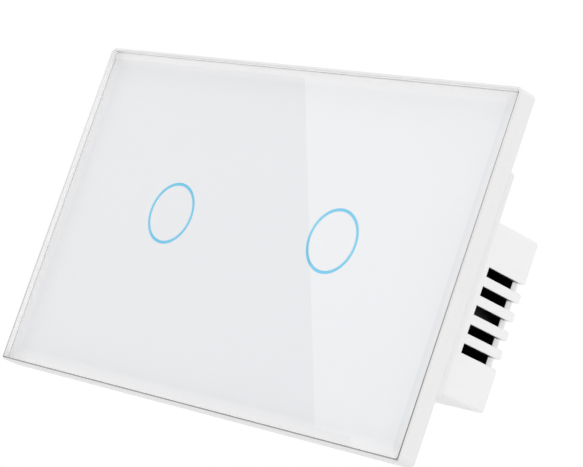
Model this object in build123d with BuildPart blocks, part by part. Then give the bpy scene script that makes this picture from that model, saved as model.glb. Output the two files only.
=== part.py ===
from build123d import *
import math
import os

# Two-gang smart touch light switch: glass front panel on a clip-on frame, and behind it
# a base with a steel strap, a touch board, a power board with two relays, and a rear
# housing that goes into a wall box. Millimetres. X runs right along the long side, Y into
# the wall and Z up. The origin is the centre of the two mounting slots on the wall plane.

os.makedirs("parts", exist_ok=True)

# General clearances
running_gap = 0.1
fit_gap = 0.05
seat_gap = 0.1

# Front panel: glass, back print, tape and frame
panel_w = 120.0
panel_h = 72.0
panel_corner_r = 1.2
glass_t = 3.0
glass_edge_w = 1.8
glass_edge_drop = 0.1
print_gap = 0.02
print_t = 0.13
print_margin = 0.05
tape_t = 0.25
tape_margin = 1.2
tape_w = 4.0
rim_t = 0.6
rim_drop = 0.15
rim_edge_r = 0.2
frame_back_t = 0.8
frame_lap_x = 3.4
frame_lap_z = 1.5

# Touch rings and their light path
ring_pitch = 48.0
ring_up = 2.0
ring_r = 6.35
ring_line_w = 0.65
ring_line_gap = 0.02
guide_wall = 1.6
guide_flange_w = 0.8
guide_flange_t = 0.6
led_count = 4
led_l = 1.6
led_w = 0.8
led_t = 0.6

# Snap tongues that hold the panel to the base
hook_inset = 8.9
hook_w = 6.0
hook_t = 0.7
hook_barb = 0.3
hook_barb_h = 0.6
hook_len = 2.0
catch_depth = 0.6
catch_h = 1.3

# Base and mounting strap
base_inset = 3.0
base_flange = 4.1
base_corner_r = 1.0
base_in_corner_r = 0.5
base_wall_t = 1.6
base_floor_t = 1.6
base_edge_r = 0.5
pad_size = 5.5
strap_gap_x = 2.4
strap_gap_z = 0.7
strap_t = 1.0
strap_corner_r = 2.0
strap_open_gap = 0.6
mount_pitch = 83.3
mount_slot_len = 8.0
mount_slot_w = 4.2
stake_inset_x = 4.0
stake_inset_z = 4.8
stake_r = 1.0
stake_head_r = 1.7
stake_head_t = 0.5

# Rear housing
box_w = 74.0
box_h = 36.0
box_seat_depth = 0.5
box_wall_t = 1.8
box_corner_r = 0.6
box_rear_r = 0.3
vent_count = 5
vent_pitch = 3.95
vent_w = 2.0
vent_len = 11.7
vent_wrap = 1.9
boss_r = 2.6
boss_wall_gap = 2.4
boss_len = 12.0
boss_pilot_depth = 10.0
housing_screw_r = 1.0
housing_screw_head_r = 2.0
housing_screw_len = 9.0

# Touch holder, behind the glass
holder_lap = 1.0
holder_side_gap = 0.3
holder_front_gap = 0.6
holder_t = 1.6
holder_corner_r = 2.0
holder_screw_pitch = 30.0
holder_screw_r = 1.0
holder_head_r = 1.75
holder_head_t = 1.2
holder_screw_len = 2.4
holder_counterbore = 1.0
holder_post_r = 1.9
holder_post_pitch = 40.0
holder_post_inset = 3.9
holder_window_gap = 0.7

# Touch board and what is on it
board_side_gap = 0.3
touch_board_t = 1.2
touch_board_y = 0.2
board_notch_gap = 1.2
board_screw_r = 0.85
board_screw_head_r = 1.6
board_screw_head_t = 1.1
board_screw_len = 2.4
spring_wire = 0.5
spring_mean_r = 4.2
spring_pitch = 1.1
chip_w = 6.0
chip_l = 10.0
chip_t = 1.5
chip_gap = 1.4
radio_w = 16.0
radio_l = 24.0
radio_board_t = 0.8
radio_gap = 0.25
shield_w = 14.6
shield_l = 16.5
shield_h = 2.3
shield_t = 0.2
shield_edge_gap = 0.7

# Board-to-board header
pin_count = 8
pin_pitch = 2.54
pin_side = 0.64
pin_hole_gap = 0.03
pin_hole_r = 0.5
pin_tail = 0.6
header_inset = 2.4
header_w = 2.5
header_h = 2.5
socket_h = 8.5
pin_reach = 3.0

# Power board and what is on it
power_board_t = 1.6
parts_inset = 1.8
chip_inset = 3.6
power_screw_inset = 4.4
power_screw_r = 1.0
power_screw_head_r = 2.0
power_screw_head_t = 1.4
power_screw_len = 6.0
post_r = 2.5
relay_front_gap = 1.3
relay_w = 7.2
relay_l = 20.5
relay_h = 15.3
relay_case_t = 0.5
relay_base_t = 1.2
relay_edge_r = 0.4
coil_gap = 2.9
coil_side_gap = 0.15
coil_lip = 0.35
coil_flange_t = 0.6
core_r = 1.1
pole_r = 2.0
pole_t = 0.5
iron_w = 4.6
iron_t = 1.0
iron_edge_gap = 0.35
armature_room = 1.0
armature_t = 0.7
armature_gap = 0.6
hinge_gap = 0.1
contact_inset = 3.5
contact_r = 1.0
contact_t = 0.6
contact_gap = 1.2
contact_strip_t = 0.6
contact_strip_w = 4.0
transformer_w = 12.0
transformer_h = 11.0
transformer_core_t = 5.4
transformer_limb = 3.6
transformer_yoke_t = 1.7
winding_l = 10.0
bobbin_foot_t = 1.8
capacitor_pitch = 10.0
capacitor_r = 4.0
capacitor_h = 12.0
capacitor_groove = 0.35
film_w = 5.0
film_l = 13.0
film_h = 11.0
varistor_z = 5.5
varistor_r = 4.5
varistor_t = 4.0
varistor_lead_r = 0.35
varistor_lead_pitch = 5.0
varistor_lead_h = 1.0
fuse_z = -6.0
fuse_w = 4.0
fuse_l = 8.5
fuse_h = 8.0
bridge_w = 4.8
bridge_l = 4.0
bridge_h = 2.5
driver_w = 4.0
driver_l = 5.0
driver_h = 1.6
lead_foot = 0.6
lead_w = 0.4
lead_t = 0.2

# Terminal block with rising cages
pole_count = 4
pole_pitch = 7.62
block_end_t = 0.5
block_h = 11.2
block_z_gap = 0.6
block_rear_gap = 0.3
block_floor_t = 0.8
cage_w = 5.4
cage_l = 6.5
cage_side_t = 0.7
cage_floor_t = 1.0
cage_nut_t = 1.6
cage_side_gap = 0.1
cage_entry_depth = 1.7
wire_gap = 2.9
wire_hole_r = 1.9
wire_slot_margin = 0.8
wire_slot_corner_r = 0.6
bar_t = 0.8
bar_w = 3.6
bar_nut_gap = 0.3
bar_pin_w = 1.0
bar_hole_r = 0.75
clamp_travel = 1.9
screw_r = 1.5
screw_head_r = 2.3
screw_head_t = 1.6
screw_head_seat_t = 1.0
screw_head_sink = 0.45
screw_slot_w = 0.8
screw_slot_depth = 0.8
access_gap = 0.3

# Depths along Y in front of the wall plane, from the base's floor forward to the glass
base_floor_y = -base_floor_t
strap_front_y = base_floor_y - strap_t
holder_front_y = strap_front_y - holder_t
frame_back_y = holder_front_y - holder_front_gap
tape_back_y = frame_back_y - frame_back_t
print_back_y = tape_back_y - tape_t
glass_back_y = print_back_y - print_t - print_gap
glass_front_y = glass_back_y - glass_t
base_front_y = frame_back_y + seat_gap
holder_head_y = holder_front_y + holder_counterbore
holder_screw_end_y = holder_head_y + holder_screw_len

# Depths behind the wall plane: touch board, relays, power board, terminals and rear wall
box_front_y = -box_seat_depth
touch_back_y = touch_board_y + touch_board_t
relay_front_y = touch_back_y + relay_front_gap
power_board_y = relay_front_y + relay_h
power_back_y = power_board_y + power_board_t
cavity_front_y = power_back_y + block_floor_t
cage_front_y = cavity_front_y + cage_side_gap
bar_front_y = cage_front_y + cage_floor_t + wire_gap
bar_back_y = bar_front_y + bar_t
cage_back_y = bar_back_y + bar_nut_gap + cage_nut_t
cavity_back_y = cage_back_y + clamp_travel + 2 * cage_side_gap
head_front_y = cavity_back_y + screw_head_seat_t + fit_gap
block_back_y = head_front_y + screw_head_t + screw_head_sink
box_inner_y = block_back_y + block_rear_gap
box_depth = box_inner_y + box_wall_t
wire_y = bar_front_y - wire_gap / 2

# Shared outlines
glass_w = panel_w - 2 * rim_t - 2 * fit_gap
glass_h = panel_h - 2 * rim_t - 2 * fit_gap
glass_corner_r = panel_corner_r - rim_t - fit_gap
base_w = panel_w - 2 * base_inset
base_h = box_h + 2 * base_flange
base_in_w = base_w - 2 * base_wall_t
base_in_h = base_h - 2 * base_wall_t
frame_open_w = base_in_w - 2 * frame_lap_x
frame_open_h = base_in_h - 2 * frame_lap_z
box_in_w = box_w - 2 * box_wall_t
box_in_h = box_h - 2 * box_wall_t
strap_w = base_in_w - 2 * strap_gap_x
strap_h = base_in_h - 2 * strap_gap_z
strap_open_w = box_in_w + 2 * strap_open_gap
strap_open_h = box_in_h + 2 * strap_open_gap
holder_w = strap_open_w + 2 * holder_lap
holder_h = base_in_h - 2 * holder_side_gap
board_w = box_in_w - 2 * board_side_gap
board_h = box_in_h - 2 * board_side_gap
boss_x = box_in_w / 2 - boss_wall_gap
boss_z = box_in_h / 2 - boss_wall_gap
notch_w = board_w / 2 - boss_x + boss_r + board_notch_gap
notch_h = board_h / 2 - boss_z + boss_r + board_notch_gap
ring_spots = [(-ring_pitch / 2, ring_up), (ring_pitch / 2, ring_up)]
boss_spots = [(sx * boss_x, sz * boss_z) for sx in (-1, 1) for sz in (-1, 1)]
mount_spots = [(-mount_pitch / 2, 0), (mount_pitch / 2, 0)]
stake_x = strap_w / 2 - stake_inset_x
stake_z = strap_h / 2 - stake_inset_z
stake_spots = [(sx * stake_x, sz * stake_z) for sx in (-1, 1) for sz in (-1, 1)]
strap_side_z = (strap_h + strap_open_h) / 4
holder_screw_spots = [
    (sx * holder_screw_pitch / 2, sz * strap_side_z) for sx in (-1, 1) for sz in (-1, 1)
]
holder_post_z = board_h / 2 - holder_post_inset
holder_post_spots = [
    (sx * holder_post_pitch / 2, sz * holder_post_z) for sx in (-1, 1) for sz in (-1, 1)
]
power_screw_x = board_w / 2 - power_screw_inset
power_screw_spots = [(-power_screw_x, 0), (power_screw_x, 0)]
header_z = board_h / 2 - header_inset
pin_spots = [((i - (pin_count - 1) / 2) * pin_pitch, header_z) for i in range(pin_count)]
pole_xs = [(i - (pole_count - 1) / 2) * pole_pitch for i in range(pole_count)]

# Row of parts across the power board, with the same gap between each two: supply chip,
# two relays, transformer, capacitors, film capacitor, surge disc and rectifier
row_widths = (
    driver_w, relay_w, relay_w, transformer_w, 2 * capacitor_r, film_w, varistor_t, bridge_w
)
row_gap = (board_w - 2 * parts_inset - sum(row_widths)) / (len(row_widths) - 1)
row_xs = [
    parts_inset - board_w / 2 + sum(row_widths[:i]) + i * row_gap + row_widths[i] / 2
    for i in range(len(row_widths))
]
driver_x, relay_x1, relay_x2, transformer_x, capacitor_x, film_x, varistor_x, bridge_x = row_xs
relay_xs = (relay_x1, relay_x2)
fuse_x = varistor_x
chip_x = -(radio_w / 2 + chip_gap + chip_w / 2)
radio_z = header_z - header_w / 2 - radio_gap - radio_l / 2
edge_chip_z = board_h / 2 - notch_h - chip_inset


def at_y(y):
    """Plane parallel to the wall at depth y: its x is X, its y is Z, and extrusions go forward."""
    return Plane.XZ.offset(-y)


def finish(piece, label):
    """Label a finished piece and write it as its own file."""
    piece.part.label = label
    export_step(piece.part, f"parts/{label}.step")


# Front glass, a tempered plate whose front falls away slightly towards its edges
with BuildPart() as glass_panel:
    with BuildSketch(at_y(glass_back_y)):
        Rectangle(glass_w, glass_h)
    extrude(amount=glass_t - glass_edge_drop)
    with BuildSketch(at_y(glass_front_y + glass_edge_drop)):
        Rectangle(glass_w, glass_h)
    with BuildSketch(at_y(glass_front_y)):
        Rectangle(glass_w - 2 * glass_edge_w, glass_h - 2 * glass_edge_w)
    loft()
    with BuildSketch(at_y(glass_back_y)):
        RectangleRounded(glass_w, glass_h, glass_corner_r)
    extrude(amount=glass_t, mode=Mode.INTERSECT)
finish(glass_panel, "glass_panel")

# White print fired on the back of the glass, left open along the two ring lines
ring_out_r = ring_r + ring_line_w / 2
ring_in_r = ring_r - ring_line_w / 2
with BuildPart() as glass_print:
    with BuildSketch(at_y(print_back_y)):
        RectangleRounded(
            glass_w - 2 * print_margin, glass_h - 2 * print_margin, glass_corner_r - print_margin
        )
        with Locations(*ring_spots):
            Circle(ring_out_r, mode=Mode.SUBTRACT)
            Circle(ring_in_r)
    extrude(amount=print_t)
finish(glass_print, "glass_print")

# Translucent ink that fills the ring lines and spreads the light
with BuildPart() as ring_diffusers:
    with BuildSketch(at_y(print_back_y)):
        with Locations(*ring_spots):
            Circle(ring_out_r - ring_line_gap)
            Circle(ring_in_r + ring_line_gap, mode=Mode.SUBTRACT)
    extrude(amount=print_t)
finish(ring_diffusers, "ring_diffusers")

# Double-sided tape loop between the print and the frame
tape_out_w = glass_w - 2 * tape_margin
tape_out_h = glass_h - 2 * tape_margin
with BuildPart() as glass_tape:
    with BuildSketch(at_y(tape_back_y)):
        Rectangle(tape_out_w, tape_out_h)
        Rectangle(tape_out_w - 2 * tape_w, tape_out_h - 2 * tape_w, mode=Mode.SUBTRACT)
    extrude(amount=tape_t)
finish(glass_tape, "glass_tape")

# Panel frame: a thin rim round the glass, a back wall and four snap tongues
hook_outer_z = base_in_h / 2 - running_gap - hook_barb
hook_x = base_in_w / 2 - hook_inset
hook_spots = [
    (sx * hook_x, sz * (hook_outer_z - hook_t / 2)) for sx in (-1, 1) for sz in (-1, 1)
]
barb_spots = [
    (sx * hook_x, sz * (hook_outer_z + hook_barb / 2)) for sx in (-1, 1) for sz in (-1, 1)
]
hook_end_y = frame_back_y + hook_len
rim_front_y = glass_front_y + rim_drop
with BuildPart() as panel_frame:
    with BuildSketch(at_y(frame_back_y)):
        RectangleRounded(panel_w, panel_h, panel_corner_r)
    extrude(amount=frame_back_y - rim_front_y)
    fillet(panel_frame.faces().sort_by(Axis.Y)[0].outer_wire().edges(), radius=rim_edge_r)
    with BuildSketch(at_y(tape_back_y)):
        RectangleRounded(
            panel_w - 2 * rim_t, panel_h - 2 * rim_t, panel_corner_r - rim_t
        )
    extrude(amount=tape_back_y - glass_front_y, mode=Mode.SUBTRACT)
    with BuildSketch(at_y(frame_back_y)):
        RectangleRounded(frame_open_w, frame_open_h, holder_corner_r)
    extrude(amount=frame_back_t, mode=Mode.SUBTRACT)
    with BuildSketch(at_y(hook_end_y)):
        with Locations(*hook_spots):
            Rectangle(hook_w, hook_t)
    extrude(amount=hook_len)
    with BuildSketch(at_y(hook_end_y)):
        with Locations(*barb_spots):
            Rectangle(hook_w, hook_barb)
    extrude(amount=hook_barb_h)
finish(panel_frame, "panel_frame")

# Mounting base: a shallow tray whose back rests on the wall
open_h = box_in_h - 2 * running_gap
open_w = box_in_w - 2 * running_gap
with BuildPart() as mounting_base:
    with BuildSketch(at_y(0)):
        RectangleRounded(base_w, base_h, base_corner_r)
    extrude(amount=-base_front_y)
    with BuildSketch(at_y(base_floor_y)):
        RectangleRounded(base_in_w, base_in_h, base_in_corner_r)
    extrude(amount=base_floor_y - base_front_y, mode=Mode.SUBTRACT)
    with BuildSketch(at_y(0)):
        Rectangle(open_w, open_h)
        with Locations(*[(sx * open_w / 2, sz * open_h / 2) for sx in (-1, 1) for sz in (-1, 1)]):
            Rectangle(2 * pad_size, 2 * pad_size, mode=Mode.SUBTRACT)
    extrude(amount=base_floor_t, mode=Mode.SUBTRACT)
    with BuildSketch(at_y(0)):
        RectangleRounded(
            box_w + 2 * running_gap, box_h + 2 * running_gap, box_corner_r + running_gap
        )
    extrude(amount=box_seat_depth, mode=Mode.SUBTRACT)
    with BuildSketch(at_y(0)):
        with Locations(*mount_spots):
            SlotOverall(mount_slot_len, mount_slot_w)
    extrude(amount=base_floor_t, mode=Mode.SUBTRACT)
    with BuildSketch(at_y(holder_screw_end_y + running_gap)):
        with Locations(*holder_screw_spots):
            Circle(holder_screw_r + fit_gap)
    extrude(amount=holder_screw_end_y + running_gap - base_floor_y, mode=Mode.SUBTRACT)
    with Locations(*[at_y(base_floor_y) * Location((x, z, 0)) for x, z in boss_spots]):
        CounterSinkHole(
            radius=housing_screw_r + fit_gap,
            counter_sink_radius=housing_screw_head_r + fit_gap,
            depth=base_floor_t,
            counter_sink_angle=90,
        )
    # Heat-staked pins with flattened heads that hold the strap
    with BuildSketch(at_y(base_floor_y)):
        with Locations(*stake_spots):
            Circle(stake_r)
    extrude(amount=strap_t)
    with BuildSketch(at_y(strap_front_y)):
        with Locations(*stake_spots):
            Circle(stake_head_r)
    extrude(amount=stake_head_t)
    # Recesses in the long walls for the barbs of the snap tongues
    with BuildSketch(at_y(hook_end_y + running_gap)):
        with Locations(*[(sx * hook_x, 0) for sx in (-1, 1)]):
            Rectangle(hook_w + 4 * running_gap, base_in_h + 2 * catch_depth)
            Rectangle(hook_w + 4 * running_gap, base_in_h, mode=Mode.SUBTRACT)
    extrude(amount=catch_h, mode=Mode.SUBTRACT)
    fillet(
        mounting_base.faces().sort_by(Axis.Y)[-1].outer_wire().edges(), radius=base_edge_r
    )
finish(mounting_base, "mounting_base")

# Steel mounting strap in the tray
with BuildPart() as mounting_strap:
    with BuildSketch(at_y(base_floor_y)):
        RectangleRounded(strap_w, strap_h, strap_corner_r)
        RectangleRounded(strap_open_w, strap_open_h, strap_corner_r, mode=Mode.SUBTRACT)
        with Locations(*mount_spots):
            SlotOverall(mount_slot_len, mount_slot_w, mode=Mode.SUBTRACT)
        with Locations(*stake_spots):
            Circle(stake_r + fit_gap, mode=Mode.SUBTRACT)
        with Locations(*holder_screw_spots):
            Circle(holder_screw_r + fit_gap, mode=Mode.SUBTRACT)
    extrude(amount=strap_t)
finish(mounting_strap, "mounting_strap")

# Rear housing with a row of vents at each rear corner
block_w = pole_count * pole_pitch + 2 * block_end_t
block_z0 = -box_in_h / 2 + block_z_gap
cage_z0 = block_z0 + cage_entry_depth
screw_z = cage_z0 + cage_l / 2
access_hole_r = screw_head_r + access_gap
wire_slot_h = 2 * (wire_hole_r + wire_slot_margin)
wire_slot_w = (pole_count - 1) * pole_pitch + wire_slot_h
vent_zs = [(i - (vent_count - 1) / 2) * vent_pitch for i in range(vent_count)]
vent_tip_r = (vent_pitch - vent_w) / 2 - fit_gap
vent_tips = [
    (box_depth - vent_tip_r, z + side * (vent_w / 2 + vent_tip_r)) for z in vent_zs for side in (-1, 1)
]
with BuildPart() as rear_housing:
    with BuildSketch(at_y(box_depth)):
        RectangleRounded(box_w, box_h, box_corner_r)
    extrude(amount=box_depth - box_front_y)
    fillet(rear_housing.faces().sort_by(Axis.Y)[-1].edges(), radius=box_rear_r)
    with BuildSketch(at_y(box_inner_y)):
        RectangleRounded(box_in_w, box_in_h, box_corner_r / 2)
    extrude(amount=box_inner_y - box_front_y, mode=Mode.SUBTRACT)
    with BuildSketch(at_y(box_front_y + boss_len)):
        with Locations(*boss_spots):
            Circle(boss_r)
    extrude(amount=boss_len)
    with BuildSketch(at_y(box_front_y + boss_pilot_depth)):
        with Locations(*boss_spots):
            Circle(housing_screw_r + fit_gap)
    extrude(amount=boss_pilot_depth, mode=Mode.SUBTRACT)
    with BuildSketch(at_y(box_inner_y)):
        with Locations(*power_screw_spots):
            Circle(post_r)
    extrude(amount=box_inner_y - power_back_y)
    with BuildSketch(at_y(power_back_y + power_screw_len)):
        with Locations(*power_screw_spots):
            Circle(power_screw_r + fit_gap)
    extrude(amount=power_screw_len, mode=Mode.SUBTRACT)
    with BuildSketch(at_y(box_depth)):
        with Locations(*[(x, screw_z) for x in pole_xs]):
            Circle(access_hole_r)
    extrude(amount=box_wall_t, mode=Mode.SUBTRACT)
    # One slot in the underside, over the wire holes of the terminal block
    with BuildSketch(Plane.XY.offset(-box_h / 2)):
        with Locations((0, wire_y)):
            RectangleRounded(wire_slot_w, wire_slot_h, wire_slot_corner_r)
    extrude(amount=box_wall_t, mode=Mode.SUBTRACT)
    # Vents: slots through the side walls that run out through the rear face, where the bars
    # between them have rounded ends
    for vent_x in (-box_w / 2, box_w / 2 - vent_wrap):
        with BuildSketch(Plane.YZ.offset(vent_x)):
            with Locations(*[(box_depth - vent_len / 2, z) for z in vent_zs]):
                Rectangle(vent_len, vent_w)
            with Locations(*[(box_depth - vent_tip_r / 2, z) for z in vent_zs]):
                Rectangle(vent_tip_r, vent_w + 2 * vent_tip_r)
            with Locations(*vent_tips):
                Circle(vent_tip_r, mode=Mode.SUBTRACT)
            with Locations(*[(box_depth - vent_len / 2, z) for z in vent_zs]):
                Rectangle(vent_len, vent_w)
        extrude(amount=vent_wrap, mode=Mode.SUBTRACT)
finish(rear_housing, "rear_housing")

# Countersunk screws that join the base to the housing
with BuildPart() as housing_screws:
    with BuildSketch(at_y(base_floor_y + housing_screw_len)):
        with Locations(*boss_spots):
            Circle(housing_screw_r)
    extrude(amount=housing_screw_len)
    with BuildSketch(at_y(base_floor_y)):
        with Locations(*boss_spots):
            Circle(housing_screw_head_r)
    extrude(amount=-(housing_screw_head_r - housing_screw_r), taper=45)
    with BuildSketch(at_y(base_floor_y + housing_screw_r / 2)):
        with Locations(*boss_spots):
            Rectangle(2 * housing_screw_r, housing_screw_r / 2)
            Rectangle(housing_screw_r / 2, 2 * housing_screw_r)
    extrude(amount=housing_screw_r / 2, mode=Mode.SUBTRACT)
finish(housing_screws, "housing_screws")

# Holder plate between the strap and the glass, with its posts for the touch board
guide_out_r = ring_r + guide_wall / 2
guide_in_r = ring_r - guide_wall / 2
guide_flange_r = guide_out_r + guide_flange_w
with BuildPart() as touch_holder:
    with BuildSketch(at_y(strap_front_y)):
        RectangleRounded(holder_w, holder_h, holder_corner_r)
        with Locations(*ring_spots):
            Circle(guide_out_r + running_gap, mode=Mode.SUBTRACT)
        with Locations((0, radio_z)):
            Rectangle(
                radio_w + 2 * holder_window_gap,
                radio_l + 2 * holder_window_gap,
                mode=Mode.SUBTRACT,
            )
        with Locations(*holder_screw_spots):
            Circle(holder_screw_r + fit_gap, mode=Mode.SUBTRACT)
    extrude(amount=holder_t)
    with BuildSketch(at_y(holder_head_y)):
        with Locations(*holder_screw_spots):
            Circle(holder_head_r + fit_gap)
    extrude(amount=holder_counterbore, mode=Mode.SUBTRACT)
    with BuildSketch(at_y(touch_board_y)):
        with Locations(*holder_post_spots):
            Circle(holder_post_r)
            Circle(board_screw_r + fit_gap, mode=Mode.SUBTRACT)
    extrude(amount=touch_board_y - strap_front_y)
finish(touch_holder, "touch_holder")

# Pan-head screws that hold the holder to the strap and base
with BuildPart() as holder_screws:
    with BuildSketch(at_y(holder_screw_end_y)):
        with Locations(*holder_screw_spots):
            Circle(holder_screw_r)
    extrude(amount=holder_screw_len)
    with BuildSketch(at_y(holder_head_y)):
        with Locations(*holder_screw_spots):
            Circle(holder_head_r)
    extrude(amount=holder_head_t)
    fillet(
        holder_screws.faces().group_by(Axis.Y)[0].edges(), radius=holder_head_t / 3
    )
    with BuildSketch(at_y(holder_head_y - holder_head_t / 2)):
        with Locations(*holder_screw_spots):
            Rectangle(1.1 * holder_head_r, holder_screw_r / 2)
            Rectangle(holder_screw_r / 2, 1.1 * holder_head_r)
    extrude(amount=holder_head_t / 2, mode=Mode.SUBTRACT)
finish(holder_screws, "holder_screws")

# Clear light guides that carry the light of the diodes to the ring lines
guide_front_y = print_back_y + running_gap
guide_back_y = touch_board_y - led_t - running_gap
with BuildPart() as light_guides:
    with BuildSketch(at_y(guide_back_y)):
        with Locations(*ring_spots):
            Circle(guide_out_r)
            Circle(guide_in_r, mode=Mode.SUBTRACT)
    extrude(amount=guide_back_y - guide_front_y)
    with BuildSketch(at_y(strap_front_y + guide_flange_t)):
        with Locations(*ring_spots):
            Circle(guide_flange_r)
            Circle(guide_in_r, mode=Mode.SUBTRACT)
    extrude(amount=guide_flange_t)
finish(light_guides, "light_guides")


# Touch springs: one open coil per ring from the board to the back of the glass
def coil_point(angle):
    """Point of the coil's centre line at an angle in radians, from its end on the board."""
    rise = spring_pitch * angle / (2 * math.pi)
    return Vector(
        spring_mean_r * math.cos(angle),
        touch_board_y - spring_wire / 2 - rise,
        spring_mean_r * math.sin(angle),
    )


def coil_heading(angle):
    """Unit direction of the coil's centre line at an angle in radians."""
    rate = -spring_pitch / (2 * math.pi)
    return Vector(
        -spring_mean_r * math.sin(angle), rate, spring_mean_r * math.cos(angle)
    ).normalized()


def biarc_joint(start, start_dir, end, end_dir):
    """Point where two tangent arcs between two points with set directions meet."""
    chord = end - start
    a = 2 * (1 - start_dir.dot(end_dir))
    b = chord.dot(start_dir + end_dir)
    reach = (math.sqrt(b * b + a * chord.dot(chord)) - b) / a
    return (start + end + (start_dir - end_dir) * reach) / 2


spring_len = touch_board_y - guide_front_y
quarter_turns = int(4 * (spring_len - spring_wire) / spring_pitch)
spring_centres = [Vector(x, 0, z) for x, z in ring_spots]
with BuildPart() as touch_springs:
    for centre in spring_centres:
        with BuildLine() as coil_line:
            for quarter in range(quarter_turns):
                a0 = quarter * math.pi / 2
                a1 = a0 + math.pi / 2
                p0 = coil_point(a0) + centre
                p1 = coil_point(a1) + centre
                t0 = coil_heading(a0)
                t1 = coil_heading(a1)
                middle = biarc_joint(p0, t0, p1, t1)
                TangentArc(p0, middle, tangent=t0)
                TangentArc(middle, p1, tangent=-t1, tangent_from_first=False)
        with BuildSketch(Plane(origin=coil_point(0) + centre, z_dir=coil_heading(0))):
            Circle(spring_wire / 2)
        sweep(path=coil_line.wire())
finish(touch_springs, "touch_springs")

steps = 24
coil_points = [coil_point(2 * math.pi * i / steps) for i in range(quarter_turns * steps // 4)]
least_gap = min(
    (coil_points[i] - coil_points[j]).length
    for i in range(len(coil_points))
    for j in range(i + steps // 2, len(coil_points))
)
print("touch spring least self gap", round(least_gap - spring_wire, 3), "mm")


def board_outline():
    """Board outline with a notch at each corner for the housing's bosses."""
    Rectangle(board_w, board_h)
    with Locations(*[(sx * board_w / 2, sz * board_h / 2) for sx in (-1, 1) for sz in (-1, 1)]):
        Rectangle(2 * notch_w, 2 * notch_h, mode=Mode.SUBTRACT)


# Touch board
with BuildPart() as touch_board:
    with BuildSketch(at_y(touch_back_y)):
        board_outline()
        with Locations(*holder_post_spots):
            Circle(board_screw_r + running_gap, mode=Mode.SUBTRACT)
        with Locations(*pin_spots):
            Circle(pin_hole_r, mode=Mode.SUBTRACT)
    extrude(amount=touch_board_t)
finish(touch_board, "touch_board")

# Small screws from behind into the holder's posts
with BuildPart() as touch_board_screws:
    with BuildSketch(at_y(touch_back_y)):
        with Locations(*holder_post_spots):
            Circle(board_screw_r)
    extrude(amount=board_screw_len)
    with BuildSketch(at_y(touch_back_y + board_screw_head_t)):
        with Locations(*holder_post_spots):
            Circle(board_screw_head_r)
    extrude(amount=board_screw_head_t)
    fillet(
        touch_board_screws.faces().group_by(Axis.Y)[-1].edges(),
        radius=board_screw_head_t / 3,
    )
    with BuildSketch(at_y(touch_back_y + board_screw_head_t)):
        with Locations(*holder_post_spots):
            Rectangle(1.1 * board_screw_head_r, board_screw_r / 2)
            Rectangle(board_screw_r / 2, 1.1 * board_screw_head_r)
    extrude(amount=board_screw_head_t / 2, mode=Mode.SUBTRACT)
finish(touch_board_screws, "touch_board_screws")

# Light-emitting diodes under each light guide
with BuildPart() as ring_leds:
    with BuildSketch(at_y(touch_board_y)):
        with Locations(*ring_spots):
            with PolarLocations(ring_r, led_count, start_angle=180 / led_count):
                Rectangle(led_w, led_l)
    extrude(amount=led_t)
finish(ring_leds, "ring_leds")


# Chips with three bent leads down each long side: touch sensing, rectifier and supply
chips = (
    ("touch_chip", touch_board_y, chip_x, 0, chip_w, chip_l, chip_t),
    ("rectifier", power_board_y, bridge_x, edge_chip_z, bridge_w, bridge_l, bridge_h),
    ("supply_chip", power_board_y, driver_x, edge_chip_z, driver_w, driver_l, driver_h),
)
for label, board_y, x, z, width, length, height in chips:
    with BuildPart() as chip:
        with BuildSketch(at_y(board_y)):
            with Locations((x, z)):
                Rectangle(width - 2 * lead_foot, length)
        extrude(amount=height)
        with BuildSketch(at_y(board_y)):
            with Locations((x, z)):
                with GridLocations(0, length / 4, 1, 3):
                    Rectangle(width, lead_w)
        extrude(amount=lead_t)
    finish(chip, label)

# Radio module: its small board and the pressed shield can
with BuildPart() as radio_board:
    with BuildSketch(at_y(touch_board_y)):
        with Locations((0, radio_z)):
            Rectangle(radio_w, radio_l)
    extrude(amount=radio_board_t)
finish(radio_board, "radio_board")

radio_front_y = touch_board_y - radio_board_t
shield_z = radio_z - (radio_l - shield_l) / 2 + shield_edge_gap
with BuildPart() as radio_shield:
    with BuildSketch(at_y(radio_front_y)):
        with Locations((0, shield_z)):
            RectangleRounded(shield_w, shield_l, 2 * shield_t)
    extrude(amount=shield_h)
    with BuildSketch(at_y(radio_front_y)):
        with Locations((0, shield_z)):
            Rectangle(shield_w - 2 * shield_t, shield_l - 2 * shield_t)
    extrude(amount=shield_h - shield_t, mode=Mode.SUBTRACT)
finish(radio_shield, "radio_shield")

# Pin header that joins the two boards
header_l = pin_count * pin_pitch
pin_end_y = power_board_y - socket_h + pin_reach
with BuildPart() as header_body:
    with BuildSketch(at_y(touch_back_y + header_h)):
        with Locations((0, header_z)):
            Rectangle(header_l, header_w)
        with Locations(*pin_spots):
            Rectangle(pin_side + 2 * pin_hole_gap, pin_side + 2 * pin_hole_gap, mode=Mode.SUBTRACT)
    extrude(amount=header_h)
finish(header_body, "header_body")

with BuildPart() as header_pins:
    with BuildSketch(at_y(pin_end_y)):
        with Locations(*pin_spots):
            Rectangle(pin_side, pin_side)
    extrude(amount=pin_end_y - touch_board_y + pin_tail)
finish(header_pins, "header_pins")

with BuildPart() as header_socket:
    with BuildSketch(at_y(power_board_y)):
        with Locations((0, header_z)):
            Rectangle(header_l, header_w)
    extrude(amount=socket_h)
    with BuildSketch(at_y(pin_end_y + 2 * running_gap)):
        with Locations(*pin_spots):
            Rectangle(pin_side + 2 * fit_gap, pin_side + 2 * fit_gap)
    extrude(amount=pin_reach + 2 * running_gap, mode=Mode.SUBTRACT)
finish(header_socket, "header_socket")

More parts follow.
